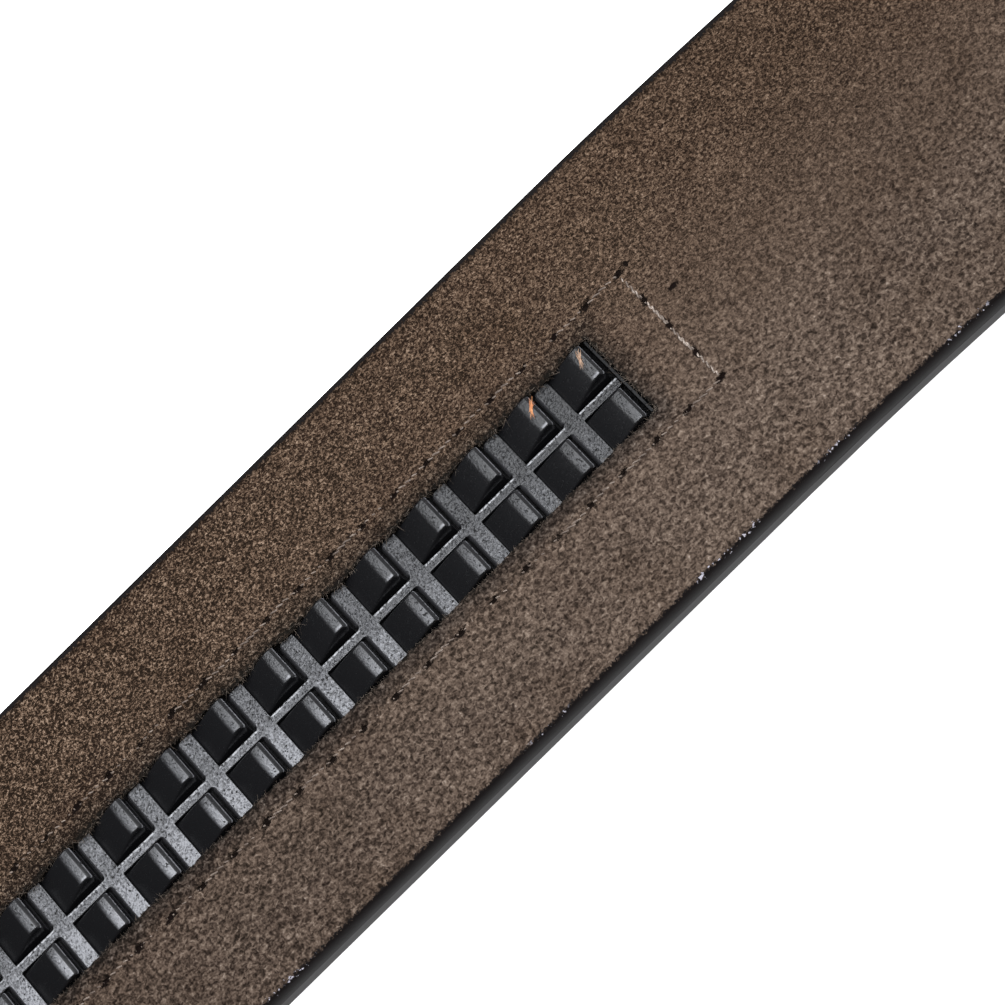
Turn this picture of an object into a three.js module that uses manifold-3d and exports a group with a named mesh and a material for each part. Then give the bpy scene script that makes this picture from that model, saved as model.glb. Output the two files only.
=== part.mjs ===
// Ratchet belt, laid out straight with its outer face down and its back up.
// Millimetres, +Z up. +X runs along the strap from the free tip to the clasp.
// The origin is under the middle of the belt, on the surface that it lies on.

import * as THREE from "three";
import { mergeVertices } from "three/addons/utils/BufferGeometryUtils.js";
import Module from "manifold-3d";

// Strap: two plies of leather, the outer face below and the suede lining above
const BELT_LENGTH = 1200;
const STRAP_WIDTH = 38.1;
const FACE_THICKNESS = 1.8;
const LINING_THICKNESS = 1.8;
const EDGE_RADIUS = 0.62;
const EDGE_STEPS = 4;
const TIP_DEPTH = 17;
const TIP_FLAT_WIDTH = 9;
const TIP_STEPS = 14;
const RISE_RUN = 95;
const RISE_LEVEL_RUN = 8;
const RISE_STEPS = 26;

// Ratchet track: a moulded strip whose flange is held between the plies
const TRACK_FROM_TIP = 50;
const TRACK_OFFSET = 0.15;
const TRACK_CELLS = 32;
const PITCH = 6.35;
const SLOT_WIDTH = 9.7;
const SLOT_CLEARANCE = 0.2;
const FLANGE_WIDTH = 17;
const FLANGE_END = 3.5;
const FLANGE_THICKNESS = 0.5;
const FLANGE_CLEARANCE = 0.3;
const RIB_WIDTH = 1.62;
const RIB_RECESS = 0.7;
const POCKET_DEPTH = 0.55;
const SPINE_WIDTH = 0.65;
const END_WALL = 0.3;
const END_WALL_RECESS = 0.15;

// One tooth of a pair: a ramp that climbs towards the clasp, a level crest and a steep back
const RAMP_STEP = 0.25;
const RAMP_LENGTH = 3.03;
const CREST_HEIGHT = 1.24;
const CREST_LENGTH = 0.96;
const CREST_BEVEL = 0.32;
const TOOTH_INNER = 0.7;
const TOOTH_DRAFT = 0.248;

// Clasp: front plate, two side walls, a clamp for the strap and a bridge over the passage
const CLASP_LENGTH = 66;
const PLATE_THICKNESS = 2.4;
const PLATE_OVERHANG = 0.8;
const PLATE_CORNER = 3.5;
const PLATE_EDGE = 0.8;
const WALL_THICKNESS = 2.2;
const WALL_SETBACK = 2;
const PASSAGE_HEIGHT = 4.8;
const PASSAGE_SIDE_CLEARANCE = 0.7;
const JAW_THICKNESS = 1;
const CLAMP_LENGTH = 18;
const CLAMP_END_WALL = 2;
const CLAMP_CLEARANCE = 0.3;
const CLAMP_EDGE = 0.6;
const BRIDGE_LENGTH = 22;
const BRIDGE_THICKNESS = 2.6;
const BRIDGE_FROM_END = 12;

// How far a cutting block runs past what it cuts, and how far joined blocks reach into each other
const CUT_MARGIN = 1;
const JOIN_OVERLAP = 0.4;

// Places worked out from the sizes
const tipX = -BELT_LENGTH / 2;
const endX = BELT_LENGTH / 2;
const strapTop = FACE_THICKNESS + LINING_THICKNESS;
const firstRibX = tipX + TRACK_FROM_TIP;
const ribTop = strapTop - RIB_RECESS;
const pocketFloor = ribTop - POCKET_DEPTH;
const trackHalfWidth = SLOT_WIDTH / 2 - SLOT_CLEARANCE;
const trackStartX = firstRibX - RIB_WIDTH / 2 - END_WALL;
const trackEndX = firstRibX + TRACK_CELLS * PITCH - RIB_WIDTH / 2 + END_WALL;
const claspX = endX - CLASP_LENGTH;
const clampX = claspX + WALL_SETBACK;
const passageTop = PLATE_THICKNESS + PASSAGE_HEIGHT;
const clampFloor = passageTop + JAW_THICKNESS;
const clampRoof = clampFloor + strapTop + CLAMP_CLEARANCE;
const passageHalfWidth = STRAP_WIDTH / 2 + PASSAGE_SIDE_CLEARANCE;
const wallOuterY = passageHalfWidth + WALL_THICKNESS;
const strapEndX = clampX + CLAMP_LENGTH - CLAMP_END_WALL - CLAMP_CLEARANCE;
const riseEndX = clampX - RISE_LEVEL_RUN;
const riseStartX = riseEndX - RISE_RUN;

const wasm = await Module();
wasm.setup();

// A closed three.js geometry as a solid that can be joined and cut
function toSolid(geometry) {
  const bare = geometry.index ? geometry.clone() : geometry;
  bare.deleteAttribute("normal");
  bare.deleteAttribute("uv");
  const merged = mergeVertices(bare, 1e-5);
  const mesh = new wasm.Mesh({
    numProp: 3,
    vertProperties: new Float32Array(merged.attributes.position.array),
    triVerts: new Uint32Array(merged.index.array),
  });
  return new wasm.Manifold(mesh);
}

// The solid's surface as a three.js geometry again
function toGeometry(solid) {
  const mesh = solid.getMesh();
  const geometry = new THREE.BufferGeometry();
  geometry.setAttribute("position", new THREE.BufferAttribute(mesh.vertProperties, 3));
  geometry.setIndex(new THREE.BufferAttribute(mesh.triVerts, 1));
  geometry.computeVertexNormals();
  return geometry;
}

// A box given by its two corners
function block(x0, x1, y0, y1, z0, z1) {
  const geometry = new THREE.BoxGeometry(x1 - x0, y1 - y0, z1 - z0);
  geometry.translate((x0 + x1) / 2, (y0 + y1) / 2, (z0 + z1) / 2);
  return toSolid(geometry);
}

function joinAll(solids) {
  return solids.reduce((whole, solid) => whole.add(solid));
}

// How far the strap is lifted at x: nothing along its run, then a smooth climb into the clamp
function rise(x) {
  const share = THREE.MathUtils.smoothstep(x, riseStartX, riseEndX);
  return share * clampFloor;
}

// The +Y half of the strap's outline, tip to clamp, each point with its direction into the strap
function outlineStations() {
  const flat = TIP_FLAT_WIDTH / 2;
  const reach = STRAP_WIDTH / 2 - flat;
  const stations = [];
  for (let i = 0; i <= TIP_STEPS; i += 1) {
    const angle = (i / TIP_STEPS) * (Math.PI / 2);
    const inward = new THREE.Vector2(Math.cos(angle) / TIP_DEPTH, -Math.sin(angle) / reach);
    inward.normalize();
    const x = tipX + TIP_DEPTH * (1 - Math.cos(angle));
    stations.push({ x, y: flat + reach * Math.sin(angle), inward });
  }
  const straight = new THREE.Vector2(0, -1);
  for (let i = 0; i <= RISE_STEPS; i += 1) {
    const x = riseStartX + (RISE_RUN * i) / RISE_STEPS;
    stations.push({ x, y: STRAP_WIDTH / 2, inward: straight });
  }
  stations.push({ x: strapEndX, y: STRAP_WIDTH / 2, inward: straight });
  return stations;
}

// The heights up one side of a ply, with the inset that rounds its outer corner
function roundedSide(cornerZ, seamZ) {
  const up = Math.sign(cornerZ - seamZ);
  const levels = [{ z: seamZ, inset: 0 }];
  for (let i = 0; i <= EDGE_STEPS; i += 1) {
    const angle = (i / EDGE_STEPS) * (Math.PI / 2);
    const z = cornerZ - up * EDGE_RADIUS * (1 - Math.sin(angle));
    levels.push({ z, inset: EDGE_RADIUS * (1 - Math.cos(angle)) });
  }
  return up > 0 ? levels : levels.reverse();
}

// One leather ply: a ring of points at each station, joined from the tip to the clamp
function ply(cornerZ, seamZ) {
  const levels = roundedSide(cornerZ, seamZ);
  const stations = outlineStations();
  const perSide = levels.length;
  const ring = 2 * perSide;
  const positions = [];
  for (const { x, y, inward } of stations) {
    const side = levels.map(({ z, inset }) => {
      const px = x + inward.x * inset;
      return [px, y + inward.y * inset, z + rise(px)];
    });
    side.forEach(([px, py, pz]) => positions.push(px, py, pz));
    side.reverse().forEach(([px, py, pz]) => positions.push(px, -py, pz));
  }
  const index = [];
  const quad = (a, b, c, d) => index.push(a, b, c, a, c, d);
  for (let i = 0; i + 1 < stations.length; i += 1) {
    for (let k = 0; k < ring; k += 1) {
      const next = (k + 1) % ring;
      const here = i * ring;
      const there = here + ring;
      quad(here + k, here + next, there + next, there + k);
    }
  }
  const last = (stations.length - 1) * ring;
  for (let k = 0; k + 1 < perSide; k += 1) {
    const mirror = ring - 1 - k;
    quad(k, mirror, mirror - 1, k + 1);
    quad(last + k, last + k + 1, last + mirror - 1, last + mirror);
  }
  const geometry = new THREE.BufferGeometry();
  geometry.setAttribute("position", new THREE.Float32BufferAttribute(positions, 3));
  geometry.setIndex(index);
  return geometry;
}

function strapFace() {
  return toSolid(ply(0, FACE_THICKNESS));
}

// The lining has a slot that shows the track, and a recess under it for the track's flange
function strapLining() {
  const slotHalf = SLOT_WIDTH / 2;
  const slot = block(
    trackStartX - SLOT_CLEARANCE, trackEndX + SLOT_CLEARANCE,
    TRACK_OFFSET - slotHalf, TRACK_OFFSET + slotHalf,
    FACE_THICKNESS - CUT_MARGIN, strapTop + CUT_MARGIN,
  );
  const recessHalf = FLANGE_WIDTH / 2 + FLANGE_CLEARANCE;
  const recessEnd = FLANGE_END + FLANGE_CLEARANCE;
  const recess = block(
    trackStartX - recessEnd, trackEndX + recessEnd,
    TRACK_OFFSET - recessHalf, TRACK_OFFSET + recessHalf,
    FACE_THICKNESS - CUT_MARGIN, FACE_THICKNESS + FLANGE_THICKNESS,
  );
  return toSolid(ply(strapTop, FACE_THICKNESS)).subtract(slot).subtract(recess);
}

// One tooth: its side view, with x from the middle of the rib before it and y up from the rib tops
function toothProfile() {
  const rampX = RIB_WIDTH / 2 - JOIN_OVERLAP;
  const crestX = RIB_WIDTH / 2 + RAMP_LENGTH;
  const bevelX = crestX + CREST_LENGTH;
  const backX = bevelX + CREST_BEVEL;
  const slope = (CREST_HEIGHT + RAMP_STEP) / RAMP_LENGTH;
  const shape = new THREE.Shape();
  shape.moveTo(rampX, -POCKET_DEPTH - JOIN_OVERLAP);
  shape.lineTo(backX, -POCKET_DEPTH - JOIN_OVERLAP);
  shape.lineTo(backX, CREST_HEIGHT - CREST_BEVEL);
  shape.lineTo(bevelX, CREST_HEIGHT);
  shape.lineTo(crestX, CREST_HEIGHT);
  shape.lineTo(rampX, -RAMP_STEP - slope * JOIN_OVERLAP);
  return shape;
}

// side is 1 for the tooth on the +Y side of the spine and -1 for the other
function tooth(cellX, side) {
  const geometry = new THREE.ExtrudeGeometry(toothProfile(), { depth: 1, bevelEnabled: false });
  const point = geometry.attributes.position;
  for (let i = 0; i < point.count; i += 1) {
    const height = point.getY(i);
    const inner = TOOTH_INNER + TOOTH_DRAFT * (height + RAMP_STEP);
    const across = THREE.MathUtils.lerp(inner, trackHalfWidth, point.getZ(i));
    point.setXYZ(i, cellX + point.getX(i), TRACK_OFFSET + side * across, ribTop + height);
  }
  const solid = toSolid(geometry);
  return solid.volume() > 0 ? solid : toSolid(flipped(geometry));
}

// The same surface with every triangle turned round, for a shape that was mirrored
function flipped(geometry) {
  const turned = geometry.clone();
  const point = turned.attributes.position;
  const first = new THREE.Vector3();
  const third = new THREE.Vector3();
  for (let i = 0; i < point.count; i += 3) {
    first.fromBufferAttribute(point, i);
    third.fromBufferAttribute(point, i + 2);
    point.setXYZ(i, third.x, third.y, third.z);
    point.setXYZ(i + 2, first.x, first.y, first.z);
  }
  return turned;
}

function ratchetTrack() {
  const acrossBlock = (x0, x1, halfWidth, z0, z1) =>
    block(x0, x1, TRACK_OFFSET - halfWidth, TRACK_OFFSET + halfWidth, z0, z1);
  const flangeHalf = FLANGE_WIDTH / 2;
  const flangeTop = FACE_THICKNESS + FLANGE_THICKNESS;
  const wallTop = strapTop - END_WALL_RECESS;
  const base = joinAll([
    acrossBlock(trackStartX - FLANGE_END, trackEndX + FLANGE_END, flangeHalf, FACE_THICKNESS, flangeTop),
    acrossBlock(trackStartX, trackEndX, trackHalfWidth, FACE_THICKNESS, pocketFloor),
    acrossBlock(trackStartX, trackEndX, SPINE_WIDTH / 2, FACE_THICKNESS, ribTop),
    acrossBlock(trackStartX, trackStartX + END_WALL, trackHalfWidth, FACE_THICKNESS, wallTop),
    acrossBlock(trackEndX - END_WALL, trackEndX, trackHalfWidth, FACE_THICKNESS, wallTop),
  ]);
  const cells = [];
  for (let i = 0; i < TRACK_CELLS; i += 1) {
    const x = firstRibX + i * PITCH;
    cells.push(acrossBlock(x - RIB_WIDTH / 2, x + RIB_WIDTH / 2, trackHalfWidth, FACE_THICKNESS, ribTop));
    cells.push(tooth(x, 1));
    cells.push(tooth(x, -1));
  }
  return base.add(joinAll(cells));
}

// The front plate, rounded in plan, with its lower edge bevelled
function frontPlate() {
  const halfLength = CLASP_LENGTH / 2;
  const halfWidth = wallOuterY + PLATE_OVERHANG;
  const corner = PLATE_CORNER;
  const shape = new THREE.Shape();
  shape.moveTo(-halfLength + corner, -halfWidth);
  shape.absarc(halfLength - corner, -halfWidth + corner, corner, -Math.PI / 2, 0);
  shape.absarc(halfLength - corner, halfWidth - corner, corner, 0, Math.PI / 2);
  shape.absarc(-halfLength + corner, halfWidth - corner, corner, Math.PI / 2, Math.PI);
  shape.absarc(-halfLength + corner, -halfWidth + corner, corner, Math.PI, 1.5 * Math.PI);
  const geometry = new THREE.ExtrudeGeometry(shape, {
    depth: 2 * (PLATE_THICKNESS - PLATE_EDGE),
    bevelThickness: PLATE_EDGE,
    bevelSize: PLATE_EDGE,
    bevelOffset: -PLATE_EDGE,
    bevelSegments: 3,
    curveSegments: 6,
  });
  geometry.translate(claspX + halfLength, 0, PLATE_EDGE);
  const above = block(
    claspX - CUT_MARGIN, endX + CUT_MARGIN,
    -halfWidth - CUT_MARGIN, halfWidth + CUT_MARGIN,
    PLATE_THICKNESS, 2 * PLATE_THICKNESS + CUT_MARGIN,
  );
  return toSolid(geometry).subtract(above);
}

// A housing block across the clasp, given by its side view's length and height, with its top edges cut
function housing(x0, x1, z0, z1) {
  const shape = new THREE.Shape();
  shape.moveTo(x0, z0);
  shape.lineTo(x1, z0);
  shape.lineTo(x1, z1 - CLAMP_EDGE);
  shape.lineTo(x1 - CLAMP_EDGE, z1);
  shape.lineTo(x0 + CLAMP_EDGE, z1);
  shape.lineTo(x0, z1 - CLAMP_EDGE);
  const geometry = new THREE.ExtrudeGeometry(shape, { depth: 2 * wallOuterY, bevelEnabled: false });
  geometry.rotateX(Math.PI / 2);
  geometry.translate(0, wallOuterY, 0);
  return toSolid(geometry);
}

function clasp() {
  const floor = PLATE_THICKNESS - JOIN_OVERLAP;
  const bridgeEndX = endX - BRIDGE_FROM_END;
  const clampTop = clampRoof + JAW_THICKNESS;
  const bridgeTop = passageTop + BRIDGE_THICKNESS;
  const walls = [1, -1].map((side) => {
    const y0 = Math.min(side * passageHalfWidth, side * wallOuterY);
    const x1 = endX - WALL_SETBACK;
    return block(clampX, x1, y0, y0 + WALL_THICKNESS, floor, passageTop);
  });
  const clamp = housing(clampX, clampX + CLAMP_LENGTH, passageTop - JOIN_OVERLAP, clampTop);
  const bridge = housing(bridgeEndX - BRIDGE_LENGTH, bridgeEndX, passageTop - JOIN_OVERLAP, bridgeTop);
  const passage = block(
    claspX - CUT_MARGIN, endX + CUT_MARGIN,
    -passageHalfWidth, passageHalfWidth,
    PLATE_THICKNESS, passageTop,
  );
  const pocketHalf = STRAP_WIDTH / 2 + CLAMP_CLEARANCE;
  const pocket = block(
    clampX - CUT_MARGIN, clampX + CLAMP_LENGTH - CLAMP_END_WALL,
    -pocketHalf, pocketHalf,
    clampFloor, clampRoof,
  );
  return joinAll([frontPlate(), ...walls, clamp, bridge]).subtract(passage).subtract(pocket);
}

// A named sub-part with its own finish
function subPart(name, solid, color, roughness, metalness) {
  const material = new THREE.MeshStandardMaterial({ color, roughness, metalness });
  const mesh = new THREE.Mesh(toGeometry(solid), material);
  mesh.name = name;
  return mesh;
}

const belt = new THREE.Group();
belt.add(subPart("strap_face", strapFace(), 0x141313, 0.45, 0));
belt.add(subPart("strap_lining", strapLining(), 0x6f6258, 0.95, 0));
belt.add(subPart("ratchet_track", ratchetTrack(), 0x17181a, 0.35, 0));
belt.add(subPart("clasp", clasp(), 0x2b2c2e, 0.3, 0.9));

export default belt;
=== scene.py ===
# %% [markdown]
# A ratchet belt is a leather strap with no holes. Its back carries a moulded strip of small
# teeth, and the clasp's pawl drops behind one tooth at a time. This lesson dresses the plain
# solids of such a belt: the napped suede back, the black track in its slot, the fine thread
# round the slot and the painted edges. The belt lies on its face, so the back looks up.

# %% Load the solids and keep their outer box
import math

import bmesh
import bpy
import numpy as np
from mathutils import Matrix, Vector


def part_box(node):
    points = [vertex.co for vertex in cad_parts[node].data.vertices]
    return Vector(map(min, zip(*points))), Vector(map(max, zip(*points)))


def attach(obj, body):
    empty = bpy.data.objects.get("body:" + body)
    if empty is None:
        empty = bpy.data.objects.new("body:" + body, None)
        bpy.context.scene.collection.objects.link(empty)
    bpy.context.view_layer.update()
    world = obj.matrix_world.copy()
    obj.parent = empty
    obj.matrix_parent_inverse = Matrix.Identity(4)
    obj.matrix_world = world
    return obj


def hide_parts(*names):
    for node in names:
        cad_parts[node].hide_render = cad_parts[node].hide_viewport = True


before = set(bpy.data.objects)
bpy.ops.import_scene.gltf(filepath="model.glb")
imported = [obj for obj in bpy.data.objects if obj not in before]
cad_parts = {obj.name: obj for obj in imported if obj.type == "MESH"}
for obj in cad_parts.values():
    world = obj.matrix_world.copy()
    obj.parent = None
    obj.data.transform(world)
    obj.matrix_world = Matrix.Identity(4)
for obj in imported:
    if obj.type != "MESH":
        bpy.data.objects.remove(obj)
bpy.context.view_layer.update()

MM = 0.001
print("solids:", sorted(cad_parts))

# %% [markdown]
# Every place below follows from the solids' own boxes and a few sizes of the real belt, so
# that a new piece always sits where its solid sits. X runs along the strap from the free tip
# to the clasp, Y across it and Z up, in metres.

# %% Sizes of the strap, the slot, the track and the thread
face_low, face_high = (np.array(corner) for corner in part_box("strap_face"))
track_low, track_high = (np.array(corner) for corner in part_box("ratchet_track"))
clasp_start_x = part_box("clasp")[0][0]

TIP_X = face_low[0]
STRAP_END_X = face_high[0]
HALF_WIDTH = face_high[1]
SEAM_Z = track_low[2]
STRAP_TOP = 2 * SEAM_Z
NEAR_EDGE = 0.95 * MM
FAR_EDGE = 0.3 * MM
FACE_EDGE = 0.5 * MM
FACE_NEAR_EDGE = 0.15 * MM
SOFT_FULLNESS = 2.5
FIRM_FULLNESS = 3.8
SHARP_ANGLE = math.radians(50)
TIP_DEPTH = 17 * MM
TIP_FLAT = 4.5 * MM
RISE = face_high[2] - SEAM_Z
RISE_RUN = 95 * MM
CLAMP_START = 2 * MM
RISE_LEVEL_RUN = 8 * MM
RISE_END_X = clasp_start_x + CLAMP_START - RISE_LEVEL_RUN
RISE_START_X = RISE_END_X - RISE_RUN

PITCH = 6.35 * MM
CELLS = 32
TRACK_Y = (track_low[1] + track_high[1]) / 2
FLANGE_END = 3.5 * MM
FLANGE_THICKNESS = 0.5 * MM
END_WALL = 0.3 * MM
RIB_WIDTH = 1.62 * MM
RIB_BELOW_TOP = 0.7 * MM
RIB_TOP = STRAP_TOP - RIB_BELOW_TOP
POCKET_DEPTH = 0.8 * MM
POCKET_FLOOR = RIB_TOP - POCKET_DEPTH
TRACK_HALF = 4.65 * MM
FIRST_RIB_X = track_low[0] + FLANGE_END + END_WALL + RIB_WIDTH / 2
LAST_RIB_X = FIRST_RIB_X + (CELLS - 1) * PITCH
SLOT_PLAY = 0.2 * MM
SLOT_START_X = track_low[0] + FLANGE_END - SLOT_PLAY
SLOT_END_X = track_high[0] - FLANGE_END + SLOT_PLAY

STITCH_PITCH = 3.97 * MM
STITCH_Y = 6.9 * MM
STITCH_BEFORE_SLOT = 4 * MM
STITCH_BEYOND_SLOT = 5.95 * MM
END_STITCHES = 4
END_PITCH = 2 * STITCH_Y / END_STITCHES
ROW_TILT = 0.7
STITCH_END_X = SLOT_END_X + STITCH_BEYOND_SLOT
STITCHES = round((STITCH_END_X - SLOT_START_X + STITCH_BEFORE_SLOT) / STITCH_PITCH)
STITCH_START_X = STITCH_END_X - STITCHES * STITCH_PITCH
print("slot from", round(SLOT_START_X, 4), "to", round(SLOT_END_X, 4), "m")

# %% [markdown]
# The camera comes first, because every later choice of detail depends on how large things
# look. The picture is square, 1005 pixels wide. Lines across the strap and along it were
# measured in the photograph, and a camera at 300 mm, leaning 22 degrees towards the near edge,
# puts them all where the photograph has them. The strap runs up to the right at 44 degrees.

# %% Camera at the photograph's angle
PICTURE_PIXELS = 1005
FOCAL_PIXELS = 3412.7
SENSOR_MM = 36
CAMERA_DISTANCE = 300.3 * MM
LEAN_TO_NEAR_EDGE = math.radians(22)
LEAN_TO_CLASP = math.radians(2.23)
STRAP_ANGLE = math.radians(43.67)
VIEW_BEFORE_LAST_RIB = 9.35 * MM
VIEW_TOWARD_NEAR = 0.48 * MM
look_at = Vector((LAST_RIB_X - VIEW_BEFORE_LAST_RIB, -VIEW_TOWARD_NEAR, RIB_TOP))


def place_camera():
    """Looks down a line that leans over the near edge, rolled until the strap climbs at its angle."""
    away = Vector((math.tan(LEAN_TO_CLASP), -math.tan(LEAN_TO_NEAR_EDGE), 1)).normalized()
    along = (-away).cross(Vector((0, 1, 0))).normalized()
    across = away.cross(along)
    right = along * math.cos(STRAP_ANGLE) - across * math.sin(STRAP_ANGLE)
    up = away.cross(right)
    data = bpy.data.cameras.new("photo_camera")
    data.sensor_width = SENSOR_MM
    data.lens = FOCAL_PIXELS / PICTURE_PIXELS * SENSOR_MM
    data.clip_start = 0.01
    camera = bpy.data.objects.new("photo_camera", data)
    bpy.context.collection.objects.link(camera)
    turned = Matrix((right, up, away)).transposed().to_4x4()
    camera.matrix_world = Matrix.Translation(look_at + away * CAMERA_DISTANCE) @ turned
    bpy.context.scene.camera = camera
    return camera


camera = place_camera()
print("lens", round(camera.data.lens, 1), "mm, camera at", [round(v, 3) for v in camera.location])

# %% [markdown]
# The photograph has a white ground and one broad soft light above, a little beyond the far
# edge. The flat tops of the track mirror that light and look mid grey, while the ramps, which
# face the dark end of the room, look almost black. One long softbox gives both. A thin, weak
# lamp over the near side adds a little light there, and a white floor lights the painted edge
# from below.

# %% Floor, lights and dim room
FLOOR_SIZE = 6.0
FLOOR_GLOW = 0.65
PAPER = (0.9, 0.9, 0.9, 1)
ROOM_LIGHT = 0.035
ROOM_SEEN = (0.93, 0.93, 0.93, 1)
WHITE = (1, 1, 1, 1)
LIGHT_TINT = (0.95, 0.97, 1.0)
LIGHTS = {
    "softbox": {"size": (1.75, 0.7), "place": (0.1, 0.2, 0.62), "tilt": -8, "watts": 16.0},
    "near_lamp": {"size": (0.5, 0.03), "place": (-0.35, -0.24, 0.6), "tilt": 22, "watts": 1.9},
}


def grid_mesh(name, points, faces, smooth=True):
    """A mesh from an array of points and a list of faces, linked as an object at the origin."""
    mesh = bpy.data.meshes.new(name)
    mesh.from_pydata(np.asarray(points, dtype=float).tolist(), [], faces)
    mesh.polygons.foreach_set("use_smooth", np.full(len(mesh.polygons), smooth))
    mesh.update()
    thing = bpy.data.objects.new(name, mesh)
    bpy.context.collection.objects.link(thing)
    return thing


def feed(node, inputs):
    """Gives each input of a node a value of its own, or a link from another node's socket or wire."""
    for key, value in inputs.items():
        source = getattr(value, "socket", value)
        if isinstance(source, bpy.types.NodeSocket):
            node.id_data.links.new(source, node.inputs[key])
        else:
            node.inputs[key].default_value = source


def shader_node(tree, kind, inputs=None, **settings):
    """One node with its settings and inputs."""
    node = tree.nodes.new(kind)
    for key, value in settings.items():
        setattr(node, key, value)
    feed(node, inputs or {})
    return node


def make_floor():
    """A square of pale paper far larger than the belt, lit from within just enough to stay white."""
    half = FLOOR_SIZE / 2
    corners = [(-half, -half, 0), (half, -half, 0), (half, half, 0), (-half, half, 0)]
    floor = grid_mesh("floor", corners, [(0, 1, 2, 3)])
    paper = bpy.data.materials.new("pale_paper")
    paper.use_nodes = True
    feed(paper.node_tree.nodes["Principled BSDF"], {
        "Base Color": PAPER, "Roughness": 0.9, "Emission Color": WHITE, "Emission Strength": FLOOR_GLOW})
    floor.data.materials.append(paper)


def make_light(name, size, place, tilt, watts):
    """A rectangle of light that looks down, tilted about X, and hidden from the camera itself."""
    data = bpy.data.lights.new(name, "AREA")
    data.shape = "RECTANGLE"
    data.size, data.size_y = size
    data.energy = watts
    data.color = LIGHT_TINT
    box = bpy.data.objects.new(name, data)
    box.location = place
    box.rotation_euler = (math.radians(tilt), 0, 0)
    box.visible_camera = False
    bpy.context.collection.objects.link(box)


def make_room():
    """A room that looks pale to the camera and gives only a dim, even light."""
    world = bpy.data.worlds.new("room")
    bpy.context.scene.world = world
    world.use_nodes = True
    tree = world.node_tree
    tree.nodes.clear()
    dim = shader_node(tree, "ShaderNodeBackground", {"Color": WHITE, "Strength": ROOM_LIGHT})
    pale = shader_node(tree, "ShaderNodeBackground", {"Color": ROOM_SEEN, "Strength": 1.0})
    path = shader_node(tree, "ShaderNodeLightPath")
    shares = {0: path.outputs["Is Camera Ray"], 1: dim.outputs[0], 2: pale.outputs[0]}
    mix = shader_node(tree, "ShaderNodeMixShader", shares)
    shader_node(tree, "ShaderNodeOutputWorld", {"Surface": mix.outputs[0]})


make_floor()
for light_name, light in LIGHTS.items():
    make_light(light_name, **light)
make_room()
bpy.context.scene.view_settings.view_transform = "Standard"
print("lights:", ", ".join(LIGHTS))

# %% [markdown]
# Both plies of the strap are one kind of surface: a row of stations along the strap, and at
# each station a row of points that climbs one side, rounds the corner, crosses the leather
# and comes down the other side. Station and row are the two parameters of a grid. The
# outline narrows at the tip as a quarter of an ellipse, and the strap lifts on a smooth S
# into the clasp.

# %% The strap's outline and its lift
SWAY = 1.65 * MM
SWAY_START_X = LAST_RIB_X + 10 * MM
SWAY_RUN = 120 * MM
SEEN_START_X = LAST_RIB_X - 80 * MM
SEEN_END_X = LAST_RIB_X + 42 * MM
TIP_STATIONS = 25
CLIMB_STATIONS = 40
PLAIN_STEP = 2.5 * MM
WIDE_STEP = 12 * MM


def lift(x):
    """Zero along the run, then 3t^2 - 2t^3 of the full rise, where t goes from 0 to 1 over the climb."""
    t = np.clip((x - RISE_START_X) / RISE_RUN, 0, 1)
    return RISE * t * t * (3 - 2 * t)


def sway(x):
    """How far the strap wanders towards the near side as it lies: -SWAY times sin^2 over one swing."""
    t = np.clip((x - SWAY_START_X) / SWAY_RUN, 0, 1)
    return -SWAY * np.sin(math.pi * t) ** 2


def lay(points):
    """Moves the points of a ply, in place, by the strap's sway and lift at their x."""
    points[:, 1] += sway(points[:, 0])
    points[:, 2] += lift(points[:, 0])


def outline(x):
    """Half width and the direction into the leather at x: an ellipse quarter at the tip, then straight."""
    t = np.clip((x - TIP_X) / TIP_DEPTH, 0, 1)
    angle = np.arccos(1 - t)
    reach = HALF_WIDTH - TIP_FLAT
    half = TIP_FLAT + reach * np.sin(angle)
    inward = np.stack([np.cos(angle) / TIP_DEPTH, -np.sin(angle) / reach], axis=1)
    inward /= np.linalg.norm(inward, axis=1, keepdims=True)
    return half, inward


def stations(slot_step, seen_step):
    """Places along X: close at the tip, the slot, the seen stretch and the climb, wide elsewhere."""
    tip = TIP_X + TIP_DEPTH * (1 - np.cos(np.linspace(0, math.pi / 2, TIP_STATIONS)))
    before = np.arange(TIP_X + TIP_DEPTH + 3 * MM, SLOT_START_X - 1 * MM, PLAIN_STEP)
    slot = np.linspace(SLOT_START_X, SEEN_START_X, int((SEEN_START_X - SLOT_START_X) / slot_step) + 1)
    seen_slot = np.linspace(SEEN_START_X, SLOT_END_X, int((SLOT_END_X - SEEN_START_X) / seen_step) + 1)[1:]
    to_stitches = np.arange(SLOT_END_X + seen_step, STITCH_END_X + 1 * MM, seen_step)
    after = np.arange(to_stitches[-1] + 2 * seen_step, SEEN_END_X, 2 * seen_step)
    run = np.arange(SEEN_END_X + 4 * MM, RISE_START_X - 4 * MM, WIDE_STEP)
    climb = np.linspace(RISE_START_X, RISE_END_X, CLIMB_STATIONS)
    return np.concatenate([tip, before, slot, seen_slot, to_stitches, after, run, climb, [STRAP_END_X]])


print("strap", round((STRAP_END_X - TIP_X) / MM), "mm long,", round(2 * HALF_WIDTH / MM, 1), "mm wide")

# %% [markdown]
# The suede ply has a slot. On the grid the slot is simply a block of cells that is left out,
# with a wall hung from its rim. The real slot was cut by a knife through soft leather: on its
# far side the leather bulges in over each rib and draws back at each tooth, and the rim is
# rounded and frayed. So the rows beside the slot are pushed by a wave with the track's own
# pitch and by a little noise.

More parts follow.
